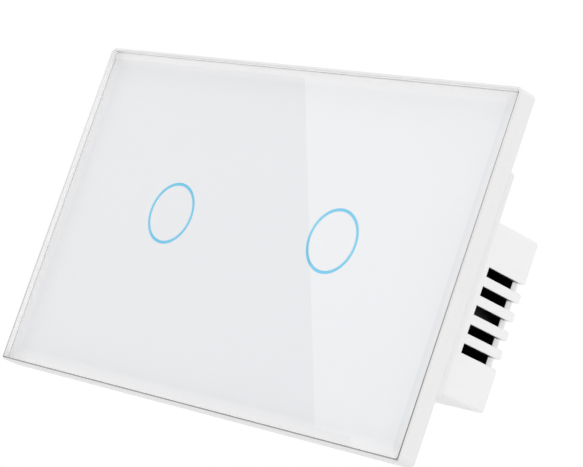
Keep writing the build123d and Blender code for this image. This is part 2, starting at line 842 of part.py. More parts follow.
# Power board
block_z1 = block_z0 + block_h
bar_leg_z = block_z1 - bar_pin_w
with BuildPart() as power_board:
    with BuildSketch(at_y(power_back_y)):
        board_outline()
        with Locations(*power_screw_spots):
            Circle(power_screw_r + running_gap, mode=Mode.SUBTRACT)
        with Locations(*[(x, bar_leg_z) for x in pole_xs]):
            Circle(bar_hole_r, mode=Mode.SUBTRACT)
    extrude(amount=power_board_t)
finish(power_board, "power_board")

with BuildPart() as power_board_screws:
    with BuildSketch(at_y(power_board_y + power_screw_len)):
        with Locations(*power_screw_spots):
            Circle(power_screw_r)
    extrude(amount=power_screw_len)
    with BuildSketch(at_y(power_board_y)):
        with Locations(*power_screw_spots):
            Circle(power_screw_head_r)
    extrude(amount=power_screw_head_t)
    fillet(
        power_board_screws.faces().group_by(Axis.Y)[0].edges(),
        radius=power_screw_head_t / 3,
    )
    with BuildSketch(at_y(power_board_y - power_screw_head_t / 2)):
        with Locations(*power_screw_spots):
            Rectangle(1.1 * power_screw_head_r, power_screw_r / 2)
            Rectangle(power_screw_r / 2, 1.1 * power_screw_head_r)
    extrude(amount=power_screw_head_t / 2, mode=Mode.SUBTRACT)
finish(power_board_screws, "power_board_screws")

# Relays: case, base, coil, iron and fixed contact, two of each
relay_spots = [(x, 0) for x in relay_xs]
relay_base_y = power_board_y - relay_base_t
with BuildPart() as relay_cases:
    with BuildSketch(at_y(power_board_y)):
        with Locations(*relay_spots):
            Rectangle(relay_w, relay_l)
    extrude(amount=relay_h)
    fillet(relay_cases.faces().group_by(Axis.Y)[0].edges(), radius=relay_edge_r)
    with BuildSketch(at_y(power_board_y)):
        with Locations(*relay_spots):
            Rectangle(relay_w - 2 * relay_case_t, relay_l - 2 * relay_case_t)
    extrude(amount=relay_h - relay_case_t, mode=Mode.SUBTRACT)
finish(relay_cases, "relay_cases")

with BuildPart() as relay_bases:
    with BuildSketch(at_y(power_board_y)):
        with Locations(*relay_spots):
            Rectangle(
                relay_w - 2 * relay_case_t - 2 * fit_gap,
                relay_l - 2 * relay_case_t - 2 * fit_gap,
            )
    extrude(amount=relay_base_t)
finish(relay_bases, "relay_bases")

# The iron is a foot and an upright with the core and its pole face
armature_y = relay_front_y + relay_case_t + armature_room
armature_back_y = armature_y + armature_t
pole_front_y = armature_back_y + armature_gap
foot_front_y = relay_base_y - iron_t
upright_z1 = relay_l / 2 - relay_case_t - fit_gap - iron_edge_gap
upright_z0 = upright_z1 - iron_t
hinge_z = upright_z1 - iron_t / 2
coil_flange_r = relay_w / 2 - relay_case_t - coil_side_gap
coil_winding_r = coil_flange_r - coil_lip
coil_z = upright_z0 - coil_gap - coil_flange_r
foot_z0 = coil_z - pole_r
foot_mid_z = (foot_z0 + upright_z1) / 2
core_spots = [(x, coil_z) for x in relay_xs]
with BuildPart() as relay_irons:
    with BuildSketch(at_y(relay_base_y)):
        with Locations(*[(x, foot_mid_z) for x in relay_xs]):
            Rectangle(iron_w, upright_z1 - foot_z0)
    extrude(amount=iron_t)
    with BuildSketch(at_y(relay_base_y)):
        with Locations(*[(x, hinge_z) for x in relay_xs]):
            Rectangle(iron_w, iron_t)
    extrude(amount=relay_base_y - armature_back_y - hinge_gap)
    with BuildSketch(at_y(foot_front_y)):
        with Locations(*core_spots):
            Circle(core_r)
    extrude(amount=foot_front_y - pole_front_y)
    with BuildSketch(at_y(pole_front_y + pole_t)):
        with Locations(*core_spots):
            Circle(pole_r)
    extrude(amount=pole_t)
finish(relay_irons, "relay_irons")

coil_back_y = foot_front_y
coil_front_y = pole_front_y + pole_t + running_gap
with BuildPart() as relay_coils:
    with BuildSketch(at_y(coil_back_y)):
        with Locations(*core_spots):
            Circle(coil_winding_r)
    extrude(amount=coil_back_y - coil_front_y)
    with BuildSketch(at_y(coil_back_y)):
        with Locations(*core_spots):
            Circle(coil_flange_r)
    extrude(amount=coil_flange_t)
    with BuildSketch(at_y(coil_front_y + coil_flange_t)):
        with Locations(*core_spots):
            Circle(coil_flange_r)
    extrude(amount=coil_flange_t)
    with BuildSketch(at_y(coil_back_y)):
        with Locations(*core_spots):
            Circle(core_r + fit_gap)
    extrude(amount=coil_back_y - coil_front_y, mode=Mode.SUBTRACT)
finish(relay_coils, "relay_coils")

contact_z = contact_inset - relay_l / 2
contact_back_y = armature_back_y + contact_t
fixed_contact_y = contact_back_y + contact_gap
strip_front_y = fixed_contact_y + contact_t
strip_z0 = contact_z - contact_r - contact_strip_t
with BuildPart() as relay_contacts:
    with BuildSketch(at_y(strip_front_y)):
        with Locations(*[(x, contact_z) for x in relay_xs]):
            Circle(contact_r)
    extrude(amount=contact_t)
    with BuildSketch(at_y(strip_front_y + contact_strip_t)):
        with Locations(*[(x, (strip_z0 + contact_z + contact_r) / 2) for x in relay_xs]):
            Rectangle(contact_strip_w, contact_z + contact_r - strip_z0)
    extrude(amount=contact_strip_t)
    with BuildSketch(at_y(relay_base_y)):
        with Locations(*[(x, strip_z0 + contact_strip_t / 2) for x in relay_xs]):
            Rectangle(contact_strip_w, contact_strip_t)
    extrude(amount=relay_base_y - strip_front_y)
finish(relay_contacts, "relay_contacts")

# Armatures: a plate that tips on the upright and closes the contact
armature_z0 = contact_z - contact_r - running_gap
for index, x in enumerate(relay_xs, start=1):
    with BuildPart() as armature:
        with BuildSketch(at_y(armature_back_y)):
            with Locations((x, (armature_z0 + upright_z1) / 2)):
                Rectangle(iron_w, upright_z1 - armature_z0)
        extrude(amount=armature_t)
        with BuildSketch(at_y(contact_back_y)):
            with Locations((x, contact_z)):
                Circle(contact_r)
        extrude(amount=contact_t)
    finish(armature, f"relay_armature_{index}")

# Small transformer: core and the bobbin with its winding and foot
core_back_y = power_board_y - bobbin_foot_t
core_front_y = core_back_y - transformer_h
window_w = (transformer_w - 2 * transformer_limb) / 2
window_x = transformer_limb / 2 + window_w / 2
with BuildPart() as transformer_core:
    with BuildSketch(at_y(core_back_y)):
        with Locations((transformer_x, 0)):
            Rectangle(transformer_w, transformer_core_t)
    extrude(amount=transformer_h)
    with BuildSketch(at_y(core_back_y - transformer_yoke_t)):
        with Locations((transformer_x - window_x, 0), (transformer_x + window_x, 0)):
            Rectangle(window_w, transformer_core_t)
    extrude(amount=transformer_h - 2 * transformer_yoke_t, mode=Mode.SUBTRACT)
finish(transformer_core, "transformer_core")

winding_back_y = core_back_y - transformer_yoke_t - running_gap
winding_front_y = core_front_y + transformer_yoke_t + running_gap
winding_in = transformer_limb + 2 * running_gap
winding_out = transformer_limb + 2 * window_w - 2 * running_gap
side_t = (winding_l - transformer_core_t) / 2 - running_gap
side_z = (winding_l - side_t) / 2
with BuildPart() as transformer_winding:
    with BuildSketch(at_y(winding_back_y)):
        with Locations((transformer_x, 0)):
            Rectangle(winding_out, winding_l)
            Rectangle(winding_in, transformer_core_t + 2 * running_gap, mode=Mode.SUBTRACT)
    extrude(amount=winding_back_y - winding_front_y)
    with BuildSketch(at_y(core_back_y)):
        with Locations((transformer_x, -side_z), (transformer_x, side_z)):
            Rectangle(winding_out, side_t)
    extrude(amount=core_back_y - winding_back_y)
    with BuildSketch(at_y(power_board_y)):
        with Locations((transformer_x, 0)):
            Rectangle(transformer_w, winding_l)
    extrude(amount=bobbin_foot_t)
finish(transformer_winding, "transformer_winding")

# Electrolytic capacitors with a crimp groove near the foot
capacitor_spots = [(capacitor_x, -capacitor_pitch / 2), (capacitor_x, capacitor_pitch / 2)]
with BuildPart() as capacitors:
    with BuildSketch(at_y(power_board_y)):
        with Locations(*capacitor_spots):
            Circle(capacitor_r)
    extrude(amount=capacitor_h)
    with BuildSketch(at_y(power_board_y - capacitor_h / 8)):
        with Locations(*capacitor_spots):
            Circle(capacitor_r)
            Circle(capacitor_r - capacitor_groove, mode=Mode.SUBTRACT)
    extrude(amount=capacitor_h / 12, mode=Mode.SUBTRACT)
    fillet(capacitors.faces().group_by(Axis.Y)[0].edges(), radius=capacitor_groove)
finish(capacitors, "capacitors")

# Film capacitor, surge disc and fuse
with BuildPart() as film_capacitor:
    with BuildSketch(at_y(power_board_y)):
        with Locations((film_x, 0)):
            Rectangle(film_w, film_l)
    extrude(amount=film_h)
    fillet(film_capacitor.faces().sort_by(Axis.Y)[0].edges(), radius=relay_edge_r)
finish(film_capacitor, "film_capacitor")

disc_y = power_board_y - varistor_lead_h - varistor_r
with BuildPart() as surge_disc:
    with BuildSketch(Plane.YZ.offset(varistor_x - varistor_t / 2)):
        with Locations((disc_y, varistor_z)):
            Circle(varistor_r)
    extrude(amount=varistor_t)
    fillet(surge_disc.edges().filter_by(GeomType.CIRCLE), radius=varistor_t / 3)
    with BuildSketch(at_y(power_board_y)):
        with Locations(
            (varistor_x, varistor_z - varistor_lead_pitch / 2),
            (varistor_x, varistor_z + varistor_lead_pitch / 2),
        ):
            Circle(varistor_lead_r)
    extrude(amount=varistor_lead_h + varistor_r)
finish(surge_disc, "surge_disc")

with BuildPart() as fuse:
    with BuildSketch(at_y(power_board_y)):
        with Locations((fuse_x, fuse_z)):
            Rectangle(fuse_w, fuse_l)
    extrude(amount=fuse_h)
    fillet(fuse.faces().sort_by(Axis.Y)[0].edges(), radius=relay_edge_r)
finish(fuse, "fuse")

# Terminal block body, with a cavity, a wire mouth and a screw well at each pole
cavity_w = cage_w + 2 * cage_side_gap
cavity_z0 = cage_z0 - cage_side_gap
with BuildPart() as terminal_block:
    with BuildSketch(at_y(block_back_y)):
        with Locations((0, (block_z0 + block_z1) / 2)):
            Rectangle(block_w, block_h)
    extrude(amount=block_back_y - power_back_y)
    with BuildSketch(at_y(cavity_back_y)):
        with Locations(*[(x, (cavity_z0 + block_z1) / 2) for x in pole_xs]):
            Rectangle(cavity_w, block_z1 - cavity_z0)
    extrude(amount=cavity_back_y - cavity_front_y, mode=Mode.SUBTRACT)
    with BuildSketch(at_y(cavity_front_y)):
        with Locations(*[(x, bar_leg_z) for x in pole_xs]):
            Rectangle(bar_w + 2 * running_gap, 2 * bar_pin_w)
    extrude(amount=block_floor_t, mode=Mode.SUBTRACT)
    with BuildSketch(at_y(block_back_y)):
        with Locations(*[(x, screw_z) for x in pole_xs]):
            Circle(screw_r + running_gap)
    extrude(amount=block_back_y - cavity_back_y, mode=Mode.SUBTRACT)
    with BuildSketch(at_y(block_back_y)):
        with Locations(*[(x, screw_z) for x in pole_xs]):
            Circle(screw_head_r + running_gap)
    extrude(amount=block_back_y - head_front_y + fit_gap, mode=Mode.SUBTRACT)
    with BuildSketch(Plane.XY.offset(block_z0)):
        with Locations(*[(x, wire_y) for x in pole_xs]):
            Circle(wire_hole_r)
    extrude(amount=cavity_z0 - block_z0, mode=Mode.SUBTRACT)
finish(terminal_block, "terminal_block")

# Contact bars: each runs through its cage and bends down into the power board
bar_z0 = cage_z0 + running_gap
bar_z1 = bar_leg_z + bar_pin_w / 2
with BuildPart() as terminal_bars:
    with BuildSketch(at_y(bar_back_y)):
        with Locations(*[(x, (bar_z0 + bar_z1) / 2) for x in pole_xs]):
            Rectangle(bar_w, bar_z1 - bar_z0)
    extrude(amount=bar_t)
    with BuildSketch(at_y(bar_front_y)):
        with Locations(*[(x, bar_z1 - bar_t / 2) for x in pole_xs]):
            Rectangle(bar_w, bar_t)
    extrude(amount=bar_front_y - power_back_y)
    with BuildSketch(at_y(power_back_y)):
        with Locations(*[(x, bar_leg_z) for x in pole_xs]):
            Rectangle(bar_pin_w, bar_t)
    extrude(amount=power_board_t - running_gap)
finish(terminal_bars, "terminal_bars")

# Clamp cages and screws, one pair to a pole: the cage climbs as the screw turns
cage_mid_z = cage_z0 + cage_l / 2
cage_depth = cage_back_y - cage_front_y
tip_y = bar_back_y + fit_gap
for index, x in enumerate(pole_xs, start=1):
    with BuildPart() as cage:
        with BuildSketch(at_y(cage_back_y)):
            with Locations((x, cage_mid_z)):
                Rectangle(cage_w, cage_l)
        extrude(amount=cage_depth)
        with BuildSketch(at_y(cage_back_y - cage_nut_t)):
            with Locations((x, cage_mid_z)):
                Rectangle(cage_w - 2 * cage_side_t, cage_l)
        extrude(amount=cage_depth - cage_nut_t - cage_floor_t, mode=Mode.SUBTRACT)
        with BuildSketch(at_y(cage_back_y)):
            with Locations((x, screw_z)):
                Circle(screw_r + fit_gap)
        extrude(amount=cage_nut_t, mode=Mode.SUBTRACT)
    finish(cage, f"terminal_cage_{index}")

    with BuildPart() as screw:
        with BuildSketch(at_y(head_front_y)):
            with Locations((x, screw_z)):
                Circle(screw_r)
        extrude(amount=head_front_y - tip_y)
        with BuildSketch(at_y(head_front_y + screw_head_t)):
            with Locations((x, screw_z)):
                Circle(screw_head_r)
        extrude(amount=screw_head_t)
        with BuildSketch(at_y(head_front_y + screw_head_t)):
            with Locations((x, screw_z)):
                Rectangle(1.4 * screw_head_r, screw_slot_w)
                Rectangle(screw_slot_w, 1.4 * screw_head_r)
        extrude(amount=screw_slot_depth, mode=Mode.SUBTRACT)
    finish(screw, f"terminal_screw_{index}")
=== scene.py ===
import math

import bpy
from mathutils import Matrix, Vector


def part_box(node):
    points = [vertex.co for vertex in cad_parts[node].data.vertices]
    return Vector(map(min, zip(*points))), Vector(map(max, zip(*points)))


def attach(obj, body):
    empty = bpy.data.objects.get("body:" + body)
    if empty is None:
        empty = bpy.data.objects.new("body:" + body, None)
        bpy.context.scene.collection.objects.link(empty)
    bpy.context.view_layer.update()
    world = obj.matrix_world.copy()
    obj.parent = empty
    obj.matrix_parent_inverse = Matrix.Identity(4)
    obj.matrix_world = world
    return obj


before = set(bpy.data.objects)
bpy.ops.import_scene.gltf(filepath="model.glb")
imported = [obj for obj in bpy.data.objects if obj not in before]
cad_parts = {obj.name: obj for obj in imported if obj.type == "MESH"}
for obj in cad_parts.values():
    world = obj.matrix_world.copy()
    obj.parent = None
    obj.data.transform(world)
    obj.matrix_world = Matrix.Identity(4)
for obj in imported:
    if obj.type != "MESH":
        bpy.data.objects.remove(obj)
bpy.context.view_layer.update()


# Mounting base: a shallow tray moulded in white polycarbonate, whose back rests on the wall.
# Its mould was spark-eroded all over, and the sprue was cut off on the hidden side.
def linear(code):
    """The linear colour of an sRGB hex value."""
    parts = [int(code[i:i + 2], 16) / 255 for i in (1, 3, 5)]
    return [p / 12.92 if p <= 0.04045 else ((p + 0.055) / 1.055) ** 2.4 for p in parts] + [1]


def add_node(tree, kind, settings=None, inputs=None):
    """Adds a node, with its settings and with a value or a link for each input named."""
    node = tree.nodes.new(kind)
    for name, value in (settings or {}).items():
        setattr(node, name, value)
    for name, value in (inputs or {}).items():
        if isinstance(value, bpy.types.NodeSocket):
            tree.links.new(value, node.inputs[name])
        else:
            node.inputs[name].default_value = value
    return node


def start_finish(name, **sockets):
    """Starts a material: returns it, its tree, its shader and the place on the object."""
    made = bpy.data.materials.new(name)
    made.use_nodes = True
    tree = made.node_tree
    shader = tree.nodes["Principled BSDF"]
    for socket, value in sockets.items():
        shader.inputs[socket.replace("_", " ")].default_value = value
    place = tree.nodes.new("ShaderNodeTexCoord").outputs["Object"]
    return made, tree, shader, place


def connect(shader, **outputs):
    """Links each output to the shader's socket of that name."""
    for socket, output in outputs.items():
        shader.id_data.links.new(output, shader.inputs[socket.replace("_", " ")])


def dress(made, *names):
    """Gives the named CAD nodes that material."""
    for name in names:
        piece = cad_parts[name]
        if not piece.material_slots:
            piece.data.materials.append(made)
        for held in piece.material_slots:
            held.material = made


def satin_plastic(name, pale, deep):
    """Makes a grained satin plastic: returns it, its tree, its shader, the place and its tint."""
    made, tree, shader, place = start_finish(name, IOR=1.58)
    grain = add_node(
        tree, "ShaderNodeTexNoise", inputs={"Vector": place, "Scale": 1000 / satin_grain_mm, "Detail": 3}
    )
    flow = add_node(
        tree, "ShaderNodeTexNoise", inputs={"Vector": place, "Scale": 1000 / satin_flow_mm, "Detail": 1}
    )
    tint = add_node(
        tree,
        "ShaderNodeMix",
        {"data_type": "RGBA"},
        {0: flow.outputs[0], 6: linear(pale), 7: linear(deep)},
    )
    dull = add_node(
        tree, "ShaderNodeMapRange", inputs={"Value": grain.outputs[0], "To Min": 0.36, "To Max": 0.5}
    )
    edge = add_node(tree, "ShaderNodeBevel", {"samples": 4}, {"Radius": satin_edge_r})
    bump = add_node(
        tree,
        "ShaderNodeBump",
        inputs={
            "Strength": 0.4,
            "Distance": 0.00001,
            "Height": grain.outputs[0],
            "Normal": edge.outputs[0],
        },
    )
    connect(shader, Base_Color=tint.outputs[2], Roughness=dull.outputs[0], Normal=bump.outputs[0])
    return made, tree, shader, place, tint


# Satin polycarbonate: the sparks leave a fine even grain that spreads the highlights.
# The real grain of about 0.05 mm is drawn at 0.3 mm, or it wouldn't show.
satin_grain_mm = 0.3
satin_flow_mm = 16
satin_edge_r = 0.0002
satin_polycarbonate = satin_plastic("satin_polycarbonate", "#EFEEEE", "#EBEAEA")[0]
dress(satin_polycarbonate, "mounting_base")

# Mounting strap: a steel stamping with two wall slots, held down by the tray's melted pins.
# Zinc-plated steel: rolled sheet, so the bright zinc shows faint lines along its length and
# cloudy patches where the plating dried.
roll_line_mm = 0.25
zinc_cloud_mm = 7
zinc_plated_steel, tree, shader, place = start_finish("zinc_plated_steel", Metallic=1)
stretch = add_node(tree, "ShaderNodeMapping", inputs={"Vector": place, "Scale": (0.03, 1, 1)})
lines = add_node(
    tree,
    "ShaderNodeTexNoise",
    inputs={"Vector": stretch.outputs[0], "Scale": 1000 / roll_line_mm, "Detail": 4},
)
cloud = add_node(
    tree, "ShaderNodeTexNoise", inputs={"Vector": place, "Scale": 1000 / zinc_cloud_mm, "Detail": 3}
)
tint = add_node(
    tree,
    "ShaderNodeMix",
    {"data_type": "RGBA"},
    {0: cloud.outputs[0], 6: linear("#C6CACE"), 7: linear("#D3D3CC")},
)
dull = add_node(
    tree, "ShaderNodeMapRange", inputs={"Value": lines.outputs[0], "To Min": 0.24, "To Max": 0.46}
)
bump = add_node(
    tree, "ShaderNodeBump", inputs={"Strength": 0.35, "Distance": 0.00001, "Height": lines.outputs[0]}
)
connect(shader, Base_Color=tint.outputs[2], Roughness=dull.outputs[0], Normal=bump.outputs[0])
dress(zinc_plated_steel, "mounting_strap")

# Rear housing: a deep box moulded in the same white polycarbonate, with five vents in each
# end that run out through its back. It is screwed to the base and goes into the wall box.
def off_outline(tree, place, half_x, half_z):
    """Returns a node with the place's X, Y and Z, and one with how far it is off a rectangle."""
    apart = add_node(tree, "ShaderNodeSeparateXYZ", inputs={0: place})
    across = add_node(tree, "ShaderNodeMath", {"operation": "ABSOLUTE"}, {0: apart.outputs[0]})
    upward = add_node(tree, "ShaderNodeMath", {"operation": "ABSOLUTE"}, {0: apart.outputs[2]})
    side = add_node(
        tree, "ShaderNodeMath", {"operation": "SUBTRACT"}, {0: across.outputs[0], 1: half_x}
    )
    top = add_node(tree, "ShaderNodeMath", {"operation": "SUBTRACT"}, {0: upward.outputs[0], 1: half_z})
    off = add_node(
        tree, "ShaderNodeMath", {"operation": "MAXIMUM"}, {0: side.outputs[0], 1: top.outputs[0]}
    )
    return apart, off


# Housing polycarbonate: the grain of the base. The inner faces and the walls of the vents get
# next to no light, so they are drawn nearly black up to the lip of each vent.
housing_wall = 0.0017
vent_lip = 0.0004
housing_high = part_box("rear_housing")[1]
housing_polycarbonate, tree, shader, place, tint = satin_plastic(
    "housing_polycarbonate", "#F4F4F4", "#F0F0F0"
)
apart, off = off_outline(tree, place, housing_high.x - vent_lip, housing_high.z - housing_wall)
within_xz = add_node(tree, "ShaderNodeMath", {"operation": "LESS_THAN"}, {0: off.outputs[0], 1: 0})
within_y = add_node(
    tree,
    "ShaderNodeMath",
    {"operation": "LESS_THAN"},
    {0: apart.outputs[1], 1: housing_high.y - housing_wall},
)
within = add_node(
    tree, "ShaderNodeMath", {"operation": "MULTIPLY"}, {0: within_xz.outputs[0], 1: within_y.outputs[0]}
)
shade = add_node(
    tree,
    "ShaderNodeMix",
    {"data_type": "RGBA"},
    {0: within.outputs[0], 6: tint.outputs[2], 7: linear("#060606")},
)
connect(shader, Base_Color=shade.outputs[2])
dress(housing_polycarbonate, "rear_housing")

# Small screws: turned or cold-headed steel that joins base, holder, boards and housing.
# Nickel-plated steel: the tool leaves fine turning lines, and the plating turns a warm grey.
turning_mm = 0.18
nickel_plated_steel, tree, shader, place = start_finish("nickel_plated_steel", Metallic=1)
stretch = add_node(tree, "ShaderNodeMapping", inputs={"Vector": place, "Scale": (0.25, 1, 0.25)})
lines = add_node(
    tree,
    "ShaderNodeTexNoise",
    inputs={"Vector": stretch.outputs[0], "Scale": 1000 / turning_mm, "Detail": 3},
)
tint = add_node(
    tree,
    "ShaderNodeMix",
    {"data_type": "RGBA"},
    {0: lines.outputs[0], 6: linear("#C9C5BD"), 7: linear("#B4B1AA")},
)
dull = add_node(
    tree, "ShaderNodeMapRange", inputs={"Value": lines.outputs[0], "To Min": 0.2, "To Max": 0.36}
)
bump = add_node(
    tree, "ShaderNodeBump", inputs={"Strength": 0.3, "Distance": 0.00001, "Height": lines.outputs[0]}
)
connect(shader, Base_Color=tint.outputs[2], Roughness=dull.outputs[0], Normal=bump.outputs[0])
dress(
    nickel_plated_steel, "housing_screws", "holder_screws", "touch_board_screws", "power_board_screws"
)

# Power board: a glass-fibre laminate with a copper layer that is etched, then painted green.
# Solder mask on laminate: copper areas show a paler green than the etched gaps between them,
# which stand a little lower, and the paint over both is glossy.
def solder_mask(name, roughness, pour_mm, scatter, gap_share, slope_share, deep, pale, step):
    """Makes a board's face: copper areas parted by etched gaps, under a green mask."""
    made, tree, shader, place = start_finish(name, IOR=1.5, Roughness=roughness)
    nearest, second = [
        add_node(
            tree,
            "ShaderNodeTexVoronoi",
            {"distance": "CHEBYCHEV", "feature": feature},
            {"Vector": place, "Scale": 1000 / pour_mm, "Randomness": scatter},
        )
        for feature in ("F1", "F2")
    ]
    apart = add_node(
        tree,
        "ShaderNodeMath",
        {"operation": "SUBTRACT"},
        {0: second.outputs["Distance"], 1: nearest.outputs["Distance"]},
    )
    copper = add_node(
        tree,
        "ShaderNodeMapRange",
        inputs={"Value": apart.outputs[0], "From Min": gap_share, "From Max": slope_share},
    )
    tint = add_node(
        tree,
        "ShaderNodeMix",
        {"data_type": "RGBA"},
        {0: copper.outputs[0], 6: linear(deep), 7: linear(pale)},
    )
    bump = add_node(
        tree, "ShaderNodeBump", inputs={"Strength": 0.8, "Distance": step, "Height": copper.outputs[0]}
    )
    connect(shader, Base_Color=tint.outputs[2], Normal=bump.outputs[0])
    return made


green_solder_mask = solder_mask(
    "green_solder_mask",
    roughness=0.3,
    pour_mm=5.5,
    scatter=0.7,
    gap_share=0.072,
    slope_share=0.09,
    deep="#0D3F24",
    pale="#1C6B3F",
    step=0.00004,
)
dress(green_solder_mask, "power_board")


# Solder joints on the board's back, one to each lead that isn't under the terminal block.
# Each is a small tin cone drawn up round the clipped end of its lead, made in one wave bath.
def turned_mesh(name, spots, profile, sides):
    """A mesh of one turned form at each spot, its axis along Y, from (radius, depth) pairs."""
    points, faces = [], []
    for spot in spots:
        first = len(points)
        for radius, depth in profile:
            for side in range(sides):
                turn = math.tau * side / sides
                points.append(
                    (spot.x + radius * math.cos(turn), spot.y + depth, spot.z + radius * math.sin(turn))
                )
        for ring in range(len(profile) - 1):
            for side in range(sides):
                a = first + ring * sides + side
                b = first + ring * sides + (side + 1) % sides
                faces.append((a, a + sides, b + sides, b))
        faces.append([first + (len(profile) - 1) * sides + side for side in range(sides)])
        faces.append([first + sides - 1 - side for side in range(sides)])
    made = bpy.data.meshes.new(name)
    made.from_pydata(points, [], faces)
    made.validate()
    for face in made.polygons:
        face.use_smooth = len(face.vertices) == 4
    return made


def add_piece(name, mesh, made, body):
    """Adds a mesh as a piece that rides on a body and takes a slot's finish."""
    piece = bpy.data.objects.new(name, mesh)
    bpy.context.collection.objects.link(piece)
    mesh.materials.append(made)
    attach(piece, body)


def box_middle(name):
    """The middle of a CAD node's box."""
    low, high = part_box(name)
    return (low + high) / 2


joint_r = 0.00085
joint_h = 0.0008
joint_sides = 14
lead_r = 0.00028
relay_leads = [(-0.0018, 0.0086), (0.0018, 0.0086), (0, -0.0088)]
core_lead_xs = (-0.005, -0.0025, 0.0025, 0.005)
core_lead_z = 0.0042
film_lead_z = 0.005
pair_half = 0.0025
can_z = 0.005
can_lead_x = 0.00175
pin_count = 8
board_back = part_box("power_board")[1].y
block_low, block_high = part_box("terminal_block")
header_low, header_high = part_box("header_socket")
pin_gap = (header_high.x - header_low.x) / pin_count
lead_spots = []
for i in (1, 2):
    relay_x = box_middle(f"relay_armature_{i}").x
    lead_spots += [(relay_x + dx, z) for dx, z in relay_leads]
core_x = box_middle("transformer_core").x
lead_spots += [(core_x + dx, side * core_lead_z) for dx in core_lead_xs for side in (-1, 1)]
film_x = box_middle("film_capacitor").x
lead_spots += [(film_x, -film_lead_z), (film_x, film_lead_z)]
for name in ("fuse", "surge_disc"):
    mid = box_middle(name)
    lead_spots += [(mid.x, mid.z - pair_half), (mid.x, mid.z + pair_half)]
can_x = box_middle("capacitors").x
lead_spots += [(can_x + dx, side * can_z) for dx in (-can_lead_x, can_lead_x) for side in (-1, 1)]
header_z = box_middle("header_socket").z
lead_spots += [(header_low.x + (i + 0.5) * pin_gap, header_z) for i in range(pin_count)]
joint_spots = [
    Vector((x, board_back, z))
    for x, z in lead_spots
    if not (
        block_low.x - joint_r < x < block_high.x + joint_r
        and block_low.z - joint_r < z < block_high.z + joint_r
    )
]
joint_profile = [
    (joint_r, 0),
    (joint_r * 0.78, joint_h * 0.12),
    (joint_r * 0.58, joint_h * 0.34),
    (joint_r * 0.45, joint_h * 0.62),
    (lead_r * 1.1, joint_h * 0.85),
    (lead_r, joint_h * 0.88),
    (lead_r, joint_h * 1.25),
]
# Tin solder: bright where it froze fast, with a dull frosted patch where it cooled slowly.
frost_mm = 0.6
tin_solder, tree, shader, place = start_finish("tin_solder", Metallic=1)
frost = add_node(
    tree, "ShaderNodeTexNoise", inputs={"Vector": place, "Scale": 1000 / frost_mm, "Detail": 3}
)
tint = add_node(
    tree,
    "ShaderNodeMix",
    {"data_type": "RGBA"},
    {0: frost.outputs[0], 6: linear("#D9D9D6"), 7: linear("#B9BABA")},
)
dull = add_node(
    tree, "ShaderNodeMapRange", inputs={"Value": frost.outputs[0], "To Min": 0.12, "To Max": 0.4}
)
connect(shader, Base_Color=tint.outputs[2], Roughness=dull.outputs[0])
add_piece(
    "solder_joints",
    turned_mesh("solder_joints", joint_spots, joint_profile, joint_sides),
    tin_solder,
    "switch_body",
)

# Relay cases and bases: a thin blue box over a flat base that is sealed with resin.
# Glass-filled polyester: the mould's light texture shows over a fine, slightly mottled blue.
mottle_mm = 1.2
relay_polyester, tree, shader, place = start_finish("relay_polyester", IOR=1.55)
mottle = add_node(
    tree, "ShaderNodeTexNoise", inputs={"Vector": place, "Scale": 1000 / mottle_mm, "Detail": 4}
)
tint = add_node(
    tree,
    "ShaderNodeMix",
    {"data_type": "RGBA"},
    {0: mottle.outputs[0], 6: linear("#1B4A8A"), 7: linear("#24589C")},
)
dull = add_node(
    tree, "ShaderNodeMapRange", inputs={"Value": mottle.outputs[0], "To Min": 0.3, "To Max": 0.44}
)
bump = add_node(
    tree, "ShaderNodeBump", inputs={"Strength": 0.3, "Distance": 0.00002, "Height": mottle.outputs[0]}
)
connect(shader, Base_Color=tint.outputs[2], Roughness=dull.outputs[0], Normal=bump.outputs[0])
dress(relay_polyester, "relay_cases", "relay_bases")

# Relay irons and armatures: punched from soft iron, annealed, then left bare or thinly plated.
# Annealed iron: a dull grey with darker heat stains and a slightly pitted face.
stain_mm = 1.6
annealed_iron, tree, shader, place = start_finish("annealed_iron", Metallic=1)
stain = add_node(
    tree, "ShaderNodeTexNoise", inputs={"Vector": place, "Scale": 1000 / stain_mm, "Detail": 6}
)
tint = add_node(
    tree,
    "ShaderNodeMix",
    {"data_type": "RGBA"},
    {0: stain.outputs[0], 6: linear("#A3A19C"), 7: linear("#74726E")},
)
dull = add_node(
    tree, "ShaderNodeMapRange", inputs={"Value": stain.outputs[0], "To Min": 0.36, "To Max": 0.6}
)
bump = add_node(
    tree, "ShaderNodeBump", inputs={"Strength": 0.4, "Distance": 0.00002, "Height": stain.outputs[0]}
)
connect(shader, Base_Color=tint.outputs[2], Roughness=dull.outputs[0], Normal=bump.outputs[0])
dress(annealed_iron, "relay_irons", "relay_armature_1", "relay_armature_2")

# Relay coils: a few thousand turns of enamelled copper wire on a bobbin.
# Enamelled copper: each turn is a fine bright ridge under a clear brown-red varnish. The real
# 0.06 mm wire is drawn at 0.3 mm, or its turns wouldn't show. A wave texture repeats every
# tau / 20 of its place, which wave_scale turns into millimetres.
coil_wire_mm = 0.3
wave_scale = math.tau / 20 * 1000
enamelled_copper, tree, shader, place = start_finish(
    "enamelled_copper", Metallic=0.85, Roughness=0.28, Coat_Weight=0.5, Coat_Roughness=0.1
)
turns = add_node(
    tree,
    "ShaderNodeTexWave",
    {"wave_type": "BANDS", "bands_direction": "Y"},
    {"Vector": place, "Scale": wave_scale / coil_wire_mm, "Distortion": 0.4},
)
tint = add_node(
    tree,
    "ShaderNodeMix",
    {"data_type": "RGBA"},
    {0: turns.outputs["Fac"], 6: linear("#6E3417"), 7: linear("#C06E3C")},
)
bump = add_node(
    tree,
    "ShaderNodeBump",
    inputs={"Strength": 0.8, "Distance": 0.00008, "Height": turns.outputs["Fac"]},
)
connect(shader, Base_Color=tint.outputs[2], Normal=bump.outputs[0])
dress(enamelled_copper, "relay_coils")

